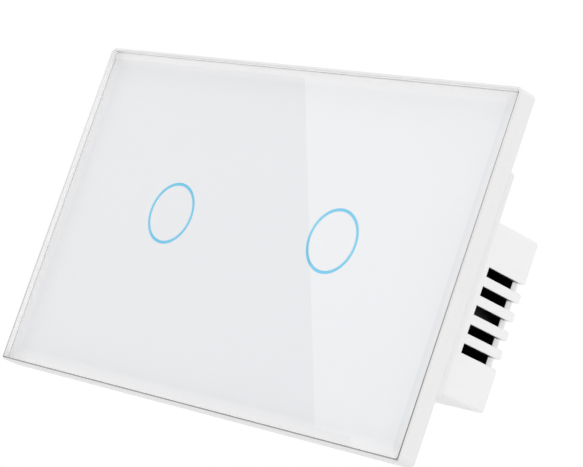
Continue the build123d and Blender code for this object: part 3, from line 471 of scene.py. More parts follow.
# Relay contacts, terminal bars and clamp cages: brass strip, punched and folded.
# Tin-flashed brass: a pale thin tin skin with the yellow brass showing through in patches,
# and fine lines along the strip from rolling.
skin_mm = 2.2
strip_line_mm = 0.2
tin_flashed_brass, tree, shader, place = start_finish("tin_flashed_brass", Metallic=1)
skin = add_node(
    tree, "ShaderNodeTexNoise", inputs={"Vector": place, "Scale": 1000 / skin_mm, "Detail": 4}
)
stretch = add_node(tree, "ShaderNodeMapping", inputs={"Vector": place, "Scale": (1, 1, 0.05)})
lines = add_node(
    tree,
    "ShaderNodeTexNoise",
    inputs={"Vector": stretch.outputs[0], "Scale": 1000 / strip_line_mm, "Detail": 2},
)
tint = add_node(
    tree,
    "ShaderNodeMix",
    {"data_type": "RGBA"},
    {0: skin.outputs[0], 6: linear("#D8D2BE"), 7: linear("#C9AE6A")},
)
dull = add_node(
    tree, "ShaderNodeMapRange", inputs={"Value": lines.outputs[0], "To Min": 0.22, "To Max": 0.42}
)
bump = add_node(
    tree, "ShaderNodeBump", inputs={"Strength": 0.3, "Distance": 0.00001, "Height": lines.outputs[0]}
)
connect(shader, Base_Color=tint.outputs[2], Roughness=dull.outputs[0], Normal=bump.outputs[0])
dress(
    tin_flashed_brass,
    "relay_contacts",
    "terminal_bars",
    *[f"terminal_cage_{i}" for i in range(1, 5)],
)

# Transformer core: two E-shaped halves pressed from iron oxide powder and fired.
# Sintered ferrite: nearly black, dry and hard, with a fine pitted grain.
pore_mm = 0.35
sintered_ferrite, tree, shader, place = start_finish("sintered_ferrite", IOR=2.3, Roughness=0.55)
pores = add_node(tree, "ShaderNodeTexVoronoi", inputs={"Vector": place, "Scale": 1000 / pore_mm})
tint = add_node(
    tree,
    "ShaderNodeMix",
    {"data_type": "RGBA"},
    {0: pores.outputs["Distance"], 6: linear("#1D1C1D"), 7: linear("#3A393A")},
)
bump = add_node(
    tree,
    "ShaderNodeBump",
    inputs={"Strength": 0.4, "Distance": 0.00003, "Height": pores.outputs["Distance"]},
)
connect(shader, Base_Color=tint.outputs[2], Normal=bump.outputs[0])
dress(sintered_ferrite, "transformer_core")

# Transformer winding: copper wire on a bobbin, wrapped in turns of yellow tape.
# Polyester tape: glossy film that shows the ridges of the wire under it, and a deeper yellow
# where its turns lie thicker.
wire_ridge_mm = 0.45
tape_step_mm = 3
polyester_tape, tree, shader, place = start_finish("polyester_tape", IOR=1.6, Roughness=0.2)
ridges = add_node(
    tree,
    "ShaderNodeTexWave",
    {"wave_type": "BANDS", "bands_direction": "Y"},
    {"Vector": place, "Scale": wave_scale / wire_ridge_mm, "Distortion": 0.6},
)
steps = add_node(
    tree, "ShaderNodeTexNoise", inputs={"Vector": place, "Scale": 1000 / tape_step_mm, "Detail": 1}
)
tint = add_node(
    tree,
    "ShaderNodeMix",
    {"data_type": "RGBA"},
    {0: steps.outputs[0], 6: linear("#E3BC2A"), 7: linear("#C99A14")},
)
bump = add_node(
    tree,
    "ShaderNodeBump",
    inputs={"Strength": 0.5, "Distance": 0.00004, "Height": ridges.outputs["Fac"]},
)
connect(shader, Base_Color=tint.outputs[2], Normal=bump.outputs[0])
dress(polyester_tape, "transformer_winding")

# Electrolytic capacitors: an aluminium can in a shrunk plastic sleeve, open at its top.
# Shrink sleeve on aluminium: glossy dark film down the side, and on top the bare can with
# the scored cross where it may vent.
sleeve_lip = 0.00012
score_w = 0.00018
film_wave_mm = 2.5
can_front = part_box("capacitors")[0].y
shrink_sleeve, tree, shader, place = start_finish("shrink_sleeve", IOR=1.5)
apart = add_node(tree, "ShaderNodeSeparateXYZ", inputs={0: place})
top = add_node(
    tree, "ShaderNodeMath", {"operation": "LESS_THAN"}, {0: apart.outputs[1], 1: can_front + sleeve_lip}
)
from_x = add_node(tree, "ShaderNodeMath", {"operation": "SUBTRACT"}, {0: apart.outputs[0], 1: can_x})
off_x = add_node(tree, "ShaderNodeMath", {"operation": "ABSOLUTE"}, {0: from_x.outputs[0]})
abs_z = add_node(tree, "ShaderNodeMath", {"operation": "ABSOLUTE"}, {0: apart.outputs[2]})
from_z = add_node(tree, "ShaderNodeMath", {"operation": "SUBTRACT"}, {0: abs_z.outputs[0], 1: can_z})
off_z = add_node(tree, "ShaderNodeMath", {"operation": "ABSOLUTE"}, {0: from_z.outputs[0]})
nearer = add_node(
    tree, "ShaderNodeMath", {"operation": "MINIMUM"}, {0: off_x.outputs[0], 1: off_z.outputs[0]}
)
score = add_node(tree, "ShaderNodeMapRange", inputs={"Value": nearer.outputs[0], "From Max": score_w})
film_wave = add_node(
    tree, "ShaderNodeTexNoise", inputs={"Vector": place, "Scale": 1000 / film_wave_mm, "Detail": 2}
)
film_tint = add_node(
    tree,
    "ShaderNodeMix",
    {"data_type": "RGBA"},
    {0: film_wave.outputs[0], 6: linear("#17181E"), 7: linear("#23252E")},
)
tint = add_node(
    tree,
    "ShaderNodeMix",
    {"data_type": "RGBA"},
    {0: top.outputs[0], 6: film_tint.outputs[2], 7: linear("#C4C6C8")},
)
dull = add_node(
    tree, "ShaderNodeMapRange", inputs={"Value": film_wave.outputs[0], "To Min": 0.16, "To Max": 0.3}
)
bump = add_node(
    tree, "ShaderNodeBump", inputs={"Strength": 0.6, "Distance": 0.00008, "Height": score.outputs[0]}
)
connect(
    shader,
    Base_Color=tint.outputs[2],
    Metallic=top.outputs[0],
    Roughness=dull.outputs[0],
    Normal=bump.outputs[0],
)
dress(shrink_sleeve, "capacitors")

# Film capacitor: a wound foil block potted in a small moulded box.
# Moulded polyester box: mustard yellow, semi-gloss, with a fine mould texture.
box_grain_mm = 0.4
mustard_polyester, tree, shader, place = start_finish("mustard_polyester", IOR=1.55)
grain = add_node(
    tree, "ShaderNodeTexNoise", inputs={"Vector": place, "Scale": 1000 / box_grain_mm, "Detail": 3}
)
tint = add_node(
    tree,
    "ShaderNodeMix",
    {"data_type": "RGBA"},
    {0: grain.outputs[0], 6: linear("#CF9F28"), 7: linear("#DDB03A")},
)
dull = add_node(
    tree, "ShaderNodeMapRange", inputs={"Value": grain.outputs[0], "To Min": 0.28, "To Max": 0.42}
)
bump = add_node(
    tree, "ShaderNodeBump", inputs={"Strength": 0.3, "Distance": 0.00002, "Height": grain.outputs[0]}
)
connect(shader, Base_Color=tint.outputs[2], Roughness=dull.outputs[0], Normal=bump.outputs[0])
dress(mustard_polyester, "film_capacitor")

# Surge disc: a zinc oxide disc on two wires, dipped in epoxy.
# Dipped epoxy: thick glossy blue with slow waves where it ran before it set.
run_mm = 2.4
dipped_epoxy, tree, shader, place = start_finish("dipped_epoxy", IOR=1.55, Roughness=0.22)
runs = add_node(
    tree, "ShaderNodeTexNoise", inputs={"Vector": place, "Scale": 1000 / run_mm, "Detail": 2}
)
tint = add_node(
    tree,
    "ShaderNodeMix",
    {"data_type": "RGBA"},
    {0: runs.outputs[0], 6: linear("#1F4E95"), 7: linear("#2D66B4")},
)
bump = add_node(
    tree, "ShaderNodeBump", inputs={"Strength": 0.5, "Distance": 0.0001, "Height": runs.outputs[0]}
)
connect(shader, Base_Color=tint.outputs[2], Normal=bump.outputs[0])
dress(dipped_epoxy, "surge_disc")

# Fuse: a fine wire in a small moulded case on two leads.
# Moulded phenolic: dark red-brown with the streaks that the filler leaves.
streak_mm = 0.9
brown_phenolic, tree, shader, place = start_finish("brown_phenolic", IOR=1.6)
streaks = add_node(
    tree,
    "ShaderNodeTexNoise",
    inputs={"Vector": place, "Scale": 1000 / streak_mm, "Detail": 5, "Distortion": 1.5},
)
tint = add_node(
    tree,
    "ShaderNodeMix",
    {"data_type": "RGBA"},
    {0: streaks.outputs[0], 6: linear("#4A2618"), 7: linear("#623525")},
)
dull = add_node(
    tree, "ShaderNodeMapRange", inputs={"Value": streaks.outputs[0], "To Min": 0.25, "To Max": 0.4}
)
connect(shader, Base_Color=tint.outputs[2], Roughness=dull.outputs[0])
dress(brown_phenolic, "fuse")

# Chips: rectifier and supply chip on the power board, touch chip on the touch board.
# Moulded epoxy: matt black with a sandy face from the mould, and the leads are tinned.
sand_mm = 0.2
for name, half_w in (("rectifier", 0.0018), ("supply_chip", 0.0014), ("touch_chip", 0.0024)):
    chip_epoxy, tree, shader, place = start_finish(f"moulded_epoxy_{name}", IOR=1.55)
    sand = add_node(
        tree, "ShaderNodeTexNoise", inputs={"Vector": place, "Scale": 1000 / sand_mm, "Detail": 2}
    )
    apart = add_node(tree, "ShaderNodeSeparateXYZ", inputs={0: place})
    from_x = add_node(
        tree, "ShaderNodeMath", {"operation": "SUBTRACT"}, {0: apart.outputs[0], 1: box_middle(name).x}
    )
    off_x = add_node(tree, "ShaderNodeMath", {"operation": "ABSOLUTE"}, {0: from_x.outputs[0]})
    leads = add_node(
        tree, "ShaderNodeMath", {"operation": "GREATER_THAN"}, {0: off_x.outputs[0], 1: half_w}
    )
    dark = add_node(
        tree,
        "ShaderNodeMix",
        {"data_type": "RGBA"},
        {0: sand.outputs[0], 6: linear("#121213"), 7: linear("#232324")},
    )
    tint = add_node(
        tree,
        "ShaderNodeMix",
        {"data_type": "RGBA"},
        {0: leads.outputs[0], 6: dark.outputs[2], 7: linear("#CFCFCB")},
    )
    dull = add_node(
        tree, "ShaderNodeMapRange", inputs={"Value": leads.outputs[0], "To Min": 0.58, "To Max": 0.25}
    )
    bump = add_node(
        tree, "ShaderNodeBump", inputs={"Strength": 0.4, "Distance": 0.00002, "Height": sand.outputs[0]}
    )
    connect(
        shader,
        Base_Color=tint.outputs[2],
        Metallic=leads.outputs[0],
        Roughness=dull.outputs[0],
        Normal=bump.outputs[0],
    )
    dress(chip_epoxy, name)

# Terminal block: one moulding with a cavity, a wire mouth and a screw well for each of the
# four wires. It stands on the back of the power board.
# Flame-proofed nylon: a greyish white, waxy and slightly cloudy, with a soft gloss.
wax_mm = 3
waxy_nylon, tree, shader, place = start_finish(
    "waxy_nylon", IOR=1.53, Subsurface_Weight=0.1, Subsurface_Scale=0.001
)
wax = add_node(
    tree, "ShaderNodeTexNoise", inputs={"Vector": place, "Scale": 1000 / wax_mm, "Detail": 3}
)
tint = add_node(
    tree,
    "ShaderNodeMix",
    {"data_type": "RGBA"},
    {0: wax.outputs[0], 6: linear("#D6D7D3"), 7: linear("#C9CAC5")},
)
dull = add_node(
    tree, "ShaderNodeMapRange", inputs={"Value": wax.outputs[0], "To Min": 0.34, "To Max": 0.48}
)
bump = add_node(
    tree, "ShaderNodeBump", inputs={"Strength": 0.3, "Distance": 0.00003, "Height": wax.outputs[0]}
)
connect(shader, Base_Color=tint.outputs[2], Roughness=dull.outputs[0], Normal=bump.outputs[0])
dress(waxy_nylon, "terminal_block")

# Clamp screws: M3 steel screws with a cross recess, turned from the back of the housing.
# Zinc-passivated steel: bright and faintly yellow, with the thread's ridges, which the solid
# leaves out, at their real 0.5 mm pitch.
thread_mm = 0.5
tarnish_mm = 1.2
passivated_steel, tree, shader, place = start_finish("passivated_steel", Metallic=1)
thread = add_node(
    tree,
    "ShaderNodeTexWave",
    {"wave_type": "BANDS", "bands_direction": "Y"},
    {"Vector": place, "Scale": wave_scale / thread_mm},
)
cloud = add_node(
    tree, "ShaderNodeTexNoise", inputs={"Vector": place, "Scale": 1000 / tarnish_mm, "Detail": 4}
)
tint = add_node(
    tree,
    "ShaderNodeMix",
    {"data_type": "RGBA"},
    {0: cloud.outputs[0], 6: linear("#CFCCC0"), 7: linear("#B9B4A0")},
)
dull = add_node(
    tree, "ShaderNodeMapRange", inputs={"Value": cloud.outputs[0], "To Min": 0.2, "To Max": 0.38}
)
bump = add_node(
    tree,
    "ShaderNodeBump",
    inputs={"Strength": 0.7, "Distance": 0.0002, "Height": thread.outputs["Fac"]},
)
connect(shader, Base_Color=tint.outputs[2], Roughness=dull.outputs[0], Normal=bump.outputs[0])
dress(passivated_steel, *[f"terminal_screw_{i}" for i in range(1, 5)])

# Touch board: the same green laminate as the power board, screwed to the holder's posts.
# Solder mask on a fine-pitch board: narrower copper areas, closer together.
fine_solder_mask = solder_mask(
    "fine_solder_mask",
    roughness=0.28,
    pour_mm=2.6,
    scatter=0.6,
    gap_share=0.1,
    slope_share=0.13,
    deep="#0C3A22",
    pale="#1A653B",
    step=0.00003,
)
dress(fine_solder_mask, "touch_board", "radio_board")

# Ring diodes: eight white packages with a yellow gel window that faces the light guides.
# Silicone gel in a white package: the gel is yellow and very smooth, the sides are chalky.
diode_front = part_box("ring_leds")[0].y
gel_speck_mm = 0.15
gel_depth = 0.00002
diode_gel, tree, shader, place = start_finish("diode_gel", IOR=1.45)
apart = add_node(tree, "ShaderNodeSeparateXYZ", inputs={0: place})
window = add_node(
    tree,
    "ShaderNodeMath",
    {"operation": "LESS_THAN"},
    {0: apart.outputs[1], 1: diode_front + gel_depth},
)
speck = add_node(
    tree, "ShaderNodeTexNoise", inputs={"Vector": place, "Scale": 1000 / gel_speck_mm, "Detail": 2}
)
gel = add_node(
    tree,
    "ShaderNodeMix",
    {"data_type": "RGBA"},
    {0: speck.outputs[0], 6: linear("#E9D66A"), 7: linear("#DCC24A")},
)
tint = add_node(
    tree,
    "ShaderNodeMix",
    {"data_type": "RGBA"},
    {0: window.outputs[0], 6: linear("#EFEDE4"), 7: gel.outputs[2]},
)
dull = add_node(
    tree, "ShaderNodeMapRange", inputs={"Value": window.outputs[0], "To Min": 0.5, "To Max": 0.12}
)
connect(shader, Base_Color=tint.outputs[2], Roughness=dull.outputs[0])
dress(diode_gel, "ring_leds")

# Header: black strips with a row of eight square pins that join the two boards.
# Glass-filled nylon for the strips: black, dry, with short glass fibres at the surface.
fibre_mm = 0.25
black_nylon, tree, shader, place = start_finish("black_nylon", IOR=1.53)
stretch = add_node(tree, "ShaderNodeMapping", inputs={"Vector": place, "Scale": (0.3, 1, 1)})
fibres = add_node(
    tree,
    "ShaderNodeTexNoise",
    inputs={"Vector": stretch.outputs[0], "Scale": 1000 / fibre_mm, "Detail": 3},
)
tint = add_node(
    tree,
    "ShaderNodeMix",
    {"data_type": "RGBA"},
    {0: fibres.outputs[0], 6: linear("#121213"), 7: linear("#2A2A2B")},
)
dull = add_node(
    tree, "ShaderNodeMapRange", inputs={"Value": fibres.outputs[0], "To Min": 0.38, "To Max": 0.55}
)
bump = add_node(
    tree, "ShaderNodeBump", inputs={"Strength": 0.3, "Distance": 0.00002, "Height": fibres.outputs[0]}
)
connect(shader, Base_Color=tint.outputs[2], Roughness=dull.outputs[0], Normal=bump.outputs[0])
dress(black_nylon, "header_body", "header_socket")

# Gold flash on brass for the pins: a warm bright yellow with fine drawing lines.
draw_line_mm = 0.15
gold_flashed_brass, tree, shader, place = start_finish("gold_flashed_brass", Metallic=1)
stretch = add_node(tree, "ShaderNodeMapping", inputs={"Vector": place, "Scale": (1, 0.05, 1)})
lines = add_node(
    tree,
    "ShaderNodeTexNoise",
    inputs={"Vector": stretch.outputs[0], "Scale": 1000 / draw_line_mm, "Detail": 2},
)
tint = add_node(
    tree,
    "ShaderNodeMix",
    {"data_type": "RGBA"},
    {0: lines.outputs[0], 6: linear("#E3BE6E"), 7: linear("#CFA552")},
)
dull = add_node(
    tree, "ShaderNodeMapRange", inputs={"Value": lines.outputs[0], "To Min": 0.14, "To Max": 0.3}
)
connect(shader, Base_Color=tint.outputs[2], Roughness=dull.outputs[0])
dress(gold_flashed_brass, "header_pins")

# Radio module: its own small board with a pressed shield can and a printed aerial.
# Nickel silver for the can: pale warm metal, tumbled after pressing, so its gloss is soft.
tumble_mm = 0.5
nickel_silver, tree, shader, place = start_finish("nickel_silver", Metallic=1)
tumble = add_node(
    tree, "ShaderNodeTexNoise", inputs={"Vector": place, "Scale": 1000 / tumble_mm, "Detail": 4}
)
tint = add_node(
    tree,
    "ShaderNodeMix",
    {"data_type": "RGBA"},
    {0: tumble.outputs[0], 6: linear("#CFCCC4"), 7: linear("#BDBAB2")},
)
dull = add_node(
    tree, "ShaderNodeMapRange", inputs={"Value": tumble.outputs[0], "To Min": 0.28, "To Max": 0.4}
)
bump = add_node(
    tree, "ShaderNodeBump", inputs={"Strength": 0.2, "Distance": 0.00002, "Height": tumble.outputs[0]}
)
connect(shader, Base_Color=tint.outputs[2], Roughness=dull.outputs[0], Normal=bump.outputs[0])
dress(nickel_silver, "radio_shield")

# Printed aerial: a copper line folded to and fro on the free end of the radio board, and the
# rows of edge pads that hold the board. Both are gold over copper, a hair thick.
trace_w = 0.0006
trace_t = 0.00004
fold_h = 0.0042
fold_count = 9
fold_margin = 0.0015
fold_rise = 0.0012
pad_w = 0.00065
pad_h = 0.0009
pad_pitch = 0.0015
pad_count = 9
pad_rise = 0.0022
left_pad_inset = 0.00002
right_pad_inset = 0.00072
radio_low, radio_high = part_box("radio_board")
trace_y = radio_low.y
fold_pitch = (radio_high.x - radio_low.x - 2 * fold_margin) / fold_count
fold_z0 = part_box("radio_shield")[1].z + fold_rise
points, faces = [], []


def add_plate(x0, x1, z0, z1):
    """Adds a flat bevelled plate on the radio board to the aerial's mesh."""
    first = len(points)
    points.extend((x, trace_y, z) for x, z in ((x0, z0), (x1, z0), (x1, z1), (x0, z1)))
    points.extend(
        (x, trace_y - trace_t, z)
        for x, z in (
            (x0 + trace_t, z0 + trace_t),
            (x1 - trace_t, z0 + trace_t),
            (x1 - trace_t, z1 - trace_t),
            (x0 + trace_t, z1 - trace_t),
        )
    )
    for a in range(4):
        b = (a + 1) % 4
        faces.append((first + a, first + b, first + b + 4, first + a + 4))
    faces.append((first + 4, first + 5, first + 6, first + 7))


for fold in range(fold_count):
    left = radio_low.x + fold_margin + fold * fold_pitch
    add_plate(left, left + trace_w, fold_z0, fold_z0 + fold_h)
    if fold < fold_count - 1:
        level = fold_z0 + (fold_h - trace_w) * ((fold + 1) % 2)
        add_plate(left + trace_w, left + fold_pitch, level, level + trace_w)
for pad in range(pad_count):
    pad_z = radio_low.z + pad_rise + pad * pad_pitch
    for x0 in (radio_low.x + left_pad_inset, radio_high.x - right_pad_inset):
        add_plate(x0, x0 + pad_w, pad_z, pad_z + pad_h)
aerial = bpy.data.meshes.new("radio_aerial")
aerial.from_pydata(points, [], faces)
add_piece("radio_aerial", aerial, gold_flashed_brass, "switch_body")

# Light guides: two clear moulded rings that carry the diodes' light to the ring lines.
# Acrylic: clear as water inside, with all its faces lightly frosted to spread the light.
frosting_mm = 0.2
clear_acrylic, tree, shader, place = start_finish(
    "clear_acrylic", IOR=1.49, Transmission_Weight=0.85, Base_Color=linear("#F3F7F9")
)
frosting = add_node(
    tree, "ShaderNodeTexNoise", inputs={"Vector": place, "Scale": 1000 / frosting_mm, "Detail": 2}
)
dull = add_node(
    tree, "ShaderNodeMapRange", inputs={"Value": frosting.outputs[0], "To Min": 0.15, "To Max": 0.45}
)
bump = add_node(
    tree, "ShaderNodeBump", inputs={"Strength": 0.3, "Distance": 0.00002, "Height": frosting.outputs[0]}
)
connect(shader, Roughness=dull.outputs[0], Normal=bump.outputs[0])
dress(clear_acrylic, "light_guides")

# Touch springs: coils of drawn wire that press on the glass and carry the finger's signal.
# Drawn spring steel: bright, with fine lines left by the die.
die_line_mm = 0.12
drawn_spring_steel, tree, shader, place = start_finish("drawn_spring_steel", Metallic=1)
lines = add_node(
    tree, "ShaderNodeTexNoise", inputs={"Vector": place, "Scale": 1000 / die_line_mm, "Detail": 3}
)
tint = add_node(
    tree,
    "ShaderNodeMix",
    {"data_type": "RGBA"},
    {0: lines.outputs[0], 6: linear("#B9B9B8"), 7: linear("#8F8F8E")},
)
dull = add_node(
    tree, "ShaderNodeMapRange", inputs={"Value": lines.outputs[0], "To Min": 0.18, "To Max": 0.36}
)
connect(shader, Base_Color=tint.outputs[2], Roughness=dull.outputs[0])
dress(drawn_spring_steel, "touch_springs")

# Touch holder: a flat moulded plate in front of the strap, with posts for the touch board.
# It is the same satin polycarbonate as the base.
dress(satin_polycarbonate, "touch_holder")

# Panel frame: a thin rim round the glass with four snap tongues behind, moulded in one.
# Polished polycarbonate: glossier than the base, with the faint slow ripple of a polished mould.
# The shade in the seam to the glass is drawn on its rim, as a fine grey line that deepens
# towards the bottom.
ripple_mm = 5
rim_edge_r = 0.00015
seam_middle = 0.0001
seam_half = 0.0002
seam_depth = 0.0005
seam_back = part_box("panel_frame")[0].y + seam_depth
glass_low, glass_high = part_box("glass_panel")
polished_polycarbonate, tree, shader, place = start_finish("polished_polycarbonate", IOR=1.58)
ripple = add_node(
    tree, "ShaderNodeTexNoise", inputs={"Vector": place, "Scale": 1000 / ripple_mm, "Detail": 2}
)
tint = add_node(
    tree,
    "ShaderNodeMix",
    {"data_type": "RGBA"},
    {0: ripple.outputs[0], 6: linear("#EEEDED"), 7: linear("#EBEAEA")},
)
apart, off = off_outline(tree, place, glass_high.x, glass_high.z)
past_seam = add_node(
    tree, "ShaderNodeMath", {"operation": "SUBTRACT"}, {0: off.outputs[0], 1: seam_middle}
)
from_seam = add_node(tree, "ShaderNodeMath", {"operation": "ABSOLUTE"}, {0: past_seam.outputs[0]})
near_seam = add_node(
    tree,
    "ShaderNodeMapRange",
    inputs={"Value": from_seam.outputs[0], "From Min": seam_half, "From Max": seam_half / 2},
)
low_down = add_node(
    tree,
    "ShaderNodeMapRange",
    inputs={"Value": apart.outputs[2], "From Min": glass_high.z, "From Max": glass_low.z},
)
at_front = add_node(
    tree, "ShaderNodeMath", {"operation": "LESS_THAN"}, {0: apart.outputs[1], 1: seam_back}
)
front_seam = add_node(
    tree, "ShaderNodeMath", {"operation": "MULTIPLY"}, {0: near_seam.outputs[0], 1: at_front.outputs[0]}
)
shade = add_node(
    tree, "ShaderNodeMath", {"operation": "MULTIPLY"}, {0: front_seam.outputs[0], 1: low_down.outputs[0]}
)
shaded = add_node(
    tree,
    "ShaderNodeMix",
    {"data_type": "RGBA"},
    {0: shade.outputs[0], 6: tint.outputs[2], 7: linear("#929295")},
)
dull = add_node(
    tree, "ShaderNodeMapRange", inputs={"Value": ripple.outputs[0], "To Min": 0.2, "To Max": 0.3}
)
edge = add_node(tree, "ShaderNodeBevel", {"samples": 4}, {"Radius": rim_edge_r})
bump = add_node(
    tree,
    "ShaderNodeBump",
    inputs={
        "Strength": 0.2,
        "Distance": 0.00003,
        "Height": ripple.outputs[0],
        "Normal": edge.outputs[0],
    },
)
connect(shader, Base_Color=shaded.outputs[2], Roughness=dull.outputs[0], Normal=bump.outputs[0])
dress(polished_polycarbonate, "panel_frame")

# Glass tape: a loop of double-sided foam tape between the frame and the printed glass.
# Acrylic foam: off-white and matt, with fine cells.
cell_mm = 0.3
acrylic_foam, tree, shader, place = start_finish("acrylic_foam", IOR=1.48, Roughness=0.85)
cells = add_node(tree, "ShaderNodeTexVoronoi", inputs={"Vector": place, "Scale": 1000 / cell_mm})
tint = add_node(
    tree,
    "ShaderNodeMix",
    {"data_type": "RGBA"},
    {0: cells.outputs["Distance"], 6: linear("#D6D5CE"), 7: linear("#E9E8E2")},
)
bump = add_node(
    tree,
    "ShaderNodeBump",
    inputs={"Strength": 0.6, "Distance": 0.00004, "Height": cells.outputs["Distance"]},
)
connect(shader, Base_Color=tint.outputs[2], Normal=bump.outputs[0])
dress(acrylic_foam, "glass_tape")

# Glass print: white ceramic ink, screen-printed on the back of the glass and fired in.
# Fired ink: an even cool white, seen through the glass, with the faintest screen mottle. Along its
# edge a band is painted light: whiter, with a faint glow, for the light the glass leads in there.
screen_mm = 0.4
# The width of the band of painted light along the print's edge.
painted_light_width = 0.003
print_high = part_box("glass_print")[1]
# Its emission shows only as the painted glow of the edge band, as the glow colour is black elsewhere.
fired_white_ink, tree, shader, place = start_finish(
    "fired_white_ink", IOR=1.5, Roughness=0.45, Emission_Strength=0.07
)
mottle = add_node(
    tree, "ShaderNodeTexNoise", inputs={"Vector": place, "Scale": 1000 / screen_mm, "Detail": 2}
)
tint = add_node(
    tree,
    "ShaderNodeMix",
    {"data_type": "RGBA"},
    {0: mottle.outputs[0], 6: linear("#F4F5F8"), 7: linear("#F2F3F6")},
)
off = off_outline(tree, place, print_high.x, print_high.z)[1]
# How far into the band of painted light along the edge a spot lies.
painted_light_band = add_node(
    tree, "ShaderNodeMapRange", inputs={"Value": off.outputs[0], "From Min": -painted_light_width, "From Max": 0}
)
# Painted light: the band along the edge is painted whiter than the ink.
painted_light_tint = add_node(
    tree,
    "ShaderNodeMix",
    {"data_type": "RGBA"},
    {0: painted_light_band.outputs[0], 6: tint.outputs[2], 7: linear("#FFFFFF")},
)
# Painted light: the band along the edge is given a faint glow.
glow = add_node(
    tree,
    "ShaderNodeMix",
    {"data_type": "RGBA"},
    {0: painted_light_band.outputs[0], 6: linear("#000000"), 7: linear("#FFFFFF")},
)
connect(shader, Base_Color=painted_light_tint.outputs[2], Emission_Color=glow.outputs[2])
dress(fired_white_ink, "glass_print")

# Ring lines: a translucent sky-blue ink in the gaps of the white print, lit from behind.
# Translucent ink: a clear blue that glows a little, and not quite evenly along the line.
glow_patch_mm = 9
translucent_ink, tree, shader, place = start_finish(
    "translucent_ink", IOR=1.5, Roughness=0.4, Emission_Strength=0.3
)
glow = add_node(
    tree, "ShaderNodeTexNoise", inputs={"Vector": place, "Scale": 1000 / glow_patch_mm, "Detail": 0}
)
tint = add_node(
    tree,
    "ShaderNodeMix",
    {"data_type": "RGBA"},
    {0: glow.outputs[0], 6: linear("#22AAD1"), 7: linear("#2CB2D8")},
)
connect(shader, Base_Color=tint.outputs[2], Emission_Color=tint.outputs[2])
dress(translucent_ink, "ring_diffusers")

# Front glass: a 3 mm plate, ground along its edges, then tempered.
# Tempered glass: low-iron and clear, flat and fully polished, so it mirrors the room over the
# white print. Tempering leaves a very slow waviness. Light that falls through it onto the
# print goes straight on, or the print would get too little of it.
temper_wave_mm = 30
tempered_glass, tree, shader, place = start_finish(
    "tempered_glass", IOR=1.52, Transmission_Weight=1, Roughness=0, Base_Color=linear("#FEFEFE")
)
wave = add_node(
    tree, "ShaderNodeTexNoise", inputs={"Vector": place, "Scale": 1000 / temper_wave_mm, "Detail": 0}
)
bump = add_node(
    tree, "ShaderNodeBump", inputs={"Strength": 0.1, "Distance": 0.00001, "Height": wave.outputs[0]}
)
rays = add_node(tree, "ShaderNodeLightPath")
lighting = add_node(
    tree,
    "ShaderNodeMath",
    {"operation": "MAXIMUM"},
    {0: rays.outputs["Is Diffuse Ray"], 1: rays.outputs["Is Shadow Ray"]},
)
straight = add_node(tree, "ShaderNodeBsdfTransparent", inputs={"Color": linear("#FDFDFD")})
mixed = add_node(
    tree,
    "ShaderNodeMixShader",
    inputs={0: lighting.outputs[0], 1: shader.outputs[0], 2: straight.outputs[0]},
)
connect(shader, Normal=bump.outputs[0])
tree.links.new(mixed.outputs[0], tree.nodes["Material Output"].inputs["Surface"])
dress(tempered_glass, "glass_panel")

# Studio floor: a wide sheet of matt white board under the part, which takes its shadow.
# Far from the part it turns into plain white for the camera, so that it ends without a line.
floor_z = -0.1
floor_half = 3
fade_start = 0.25
fade_end = 0.9
speck_mm = 2.5
board_mesh = bpy.data.meshes.new("studio_floor")
board_mesh.from_pydata(
    [
        (-floor_half, -floor_half, floor_z),
        (floor_half, -floor_half, floor_z),
        (floor_half, floor_half, floor_z),
        (-floor_half, floor_half, floor_z),
    ],
    [],
    [(0, 1, 2, 3)],
)
floor = bpy.data.objects.new("studio_floor", board_mesh)
bpy.context.collection.objects.link(floor)
matt_white_board, tree, shader, place = start_finish("matt_white_board", Roughness=0.9)
speck = add_node(
    tree, "ShaderNodeTexNoise", inputs={"Vector": place, "Scale": 1000 / speck_mm, "Detail": 2}
)
tint = add_node(
    tree,
    "ShaderNodeMix",
    {"data_type": "RGBA"},
    {0: speck.outputs[0], 6: linear("#F6F6F6"), 7: linear("#F3F3F3")},
)
connect(shader, Base_Color=tint.outputs[2])
away = add_node(tree, "ShaderNodeVectorMath", {"operation": "LENGTH"}, {0: place})
far = add_node(
    tree,
    "ShaderNodeMapRange",
    inputs={"Value": away.outputs["Value"], "From Min": fade_start, "From Max": fade_end},
)
rays = add_node(tree, "ShaderNodeLightPath")
seen = add_node(
    tree,
    "ShaderNodeMath",
    {"operation": "MULTIPLY"},
    {0: far.outputs[0], 1: rays.outputs["Is Camera Ray"]},
)
white = add_node(tree, "ShaderNodeEmission", inputs={"Color": (1, 1, 1, 1), "Strength": 1})
mixed = add_node(
    tree, "ShaderNodeMixShader", inputs={0: seen.outputs[0], 1: shader.outputs[0], 2: white.outputs[0]}
)
tree.links.new(mixed.outputs[0], tree.nodes["Material Output"].inputs["Surface"])
board_mesh.materials.append(matt_white_board)

# Studio light: an even white room, and two large soft lamps above and beside the part. The
# room is pure white where the camera, a gloss or a clear piece looks at it, and a little
# dimmer as light.
room_light = 0.89
room = bpy.data.worlds.new("studio_room")
room.use_nodes = True
tree = room.node_tree
plain = tree.nodes["Background"]
plain.inputs["Color"].default_value = (1, 1, 1, 1)
plain.inputs["Strength"].default_value = room_light
bright = add_node(tree, "ShaderNodeBackground", inputs={"Color": (1, 1, 1, 1), "Strength": 1})
rays = add_node(tree, "ShaderNodeLightPath")
either = add_node(
    tree,
    "ShaderNodeMath",
    {"operation": "MAXIMUM"},
    {0: rays.outputs["Is Camera Ray"], 1: rays.outputs["Is Glossy Ray"]},
)
any_ray = add_node(
    tree,
    "ShaderNodeMath",
    {"operation": "MAXIMUM"},
    {0: either.outputs[0], 1: rays.outputs["Is Transmission Ray"]},
)
mixed = add_node(
    tree,
    "ShaderNodeMixShader",
    inputs={0: any_ray.outputs[0], 1: plain.outputs[0], 2: bright.outputs[0]},
)
tree.links.new(mixed.outputs[0], tree.nodes["World Output"].inputs["Surface"])
bpy.context.scene.world = room


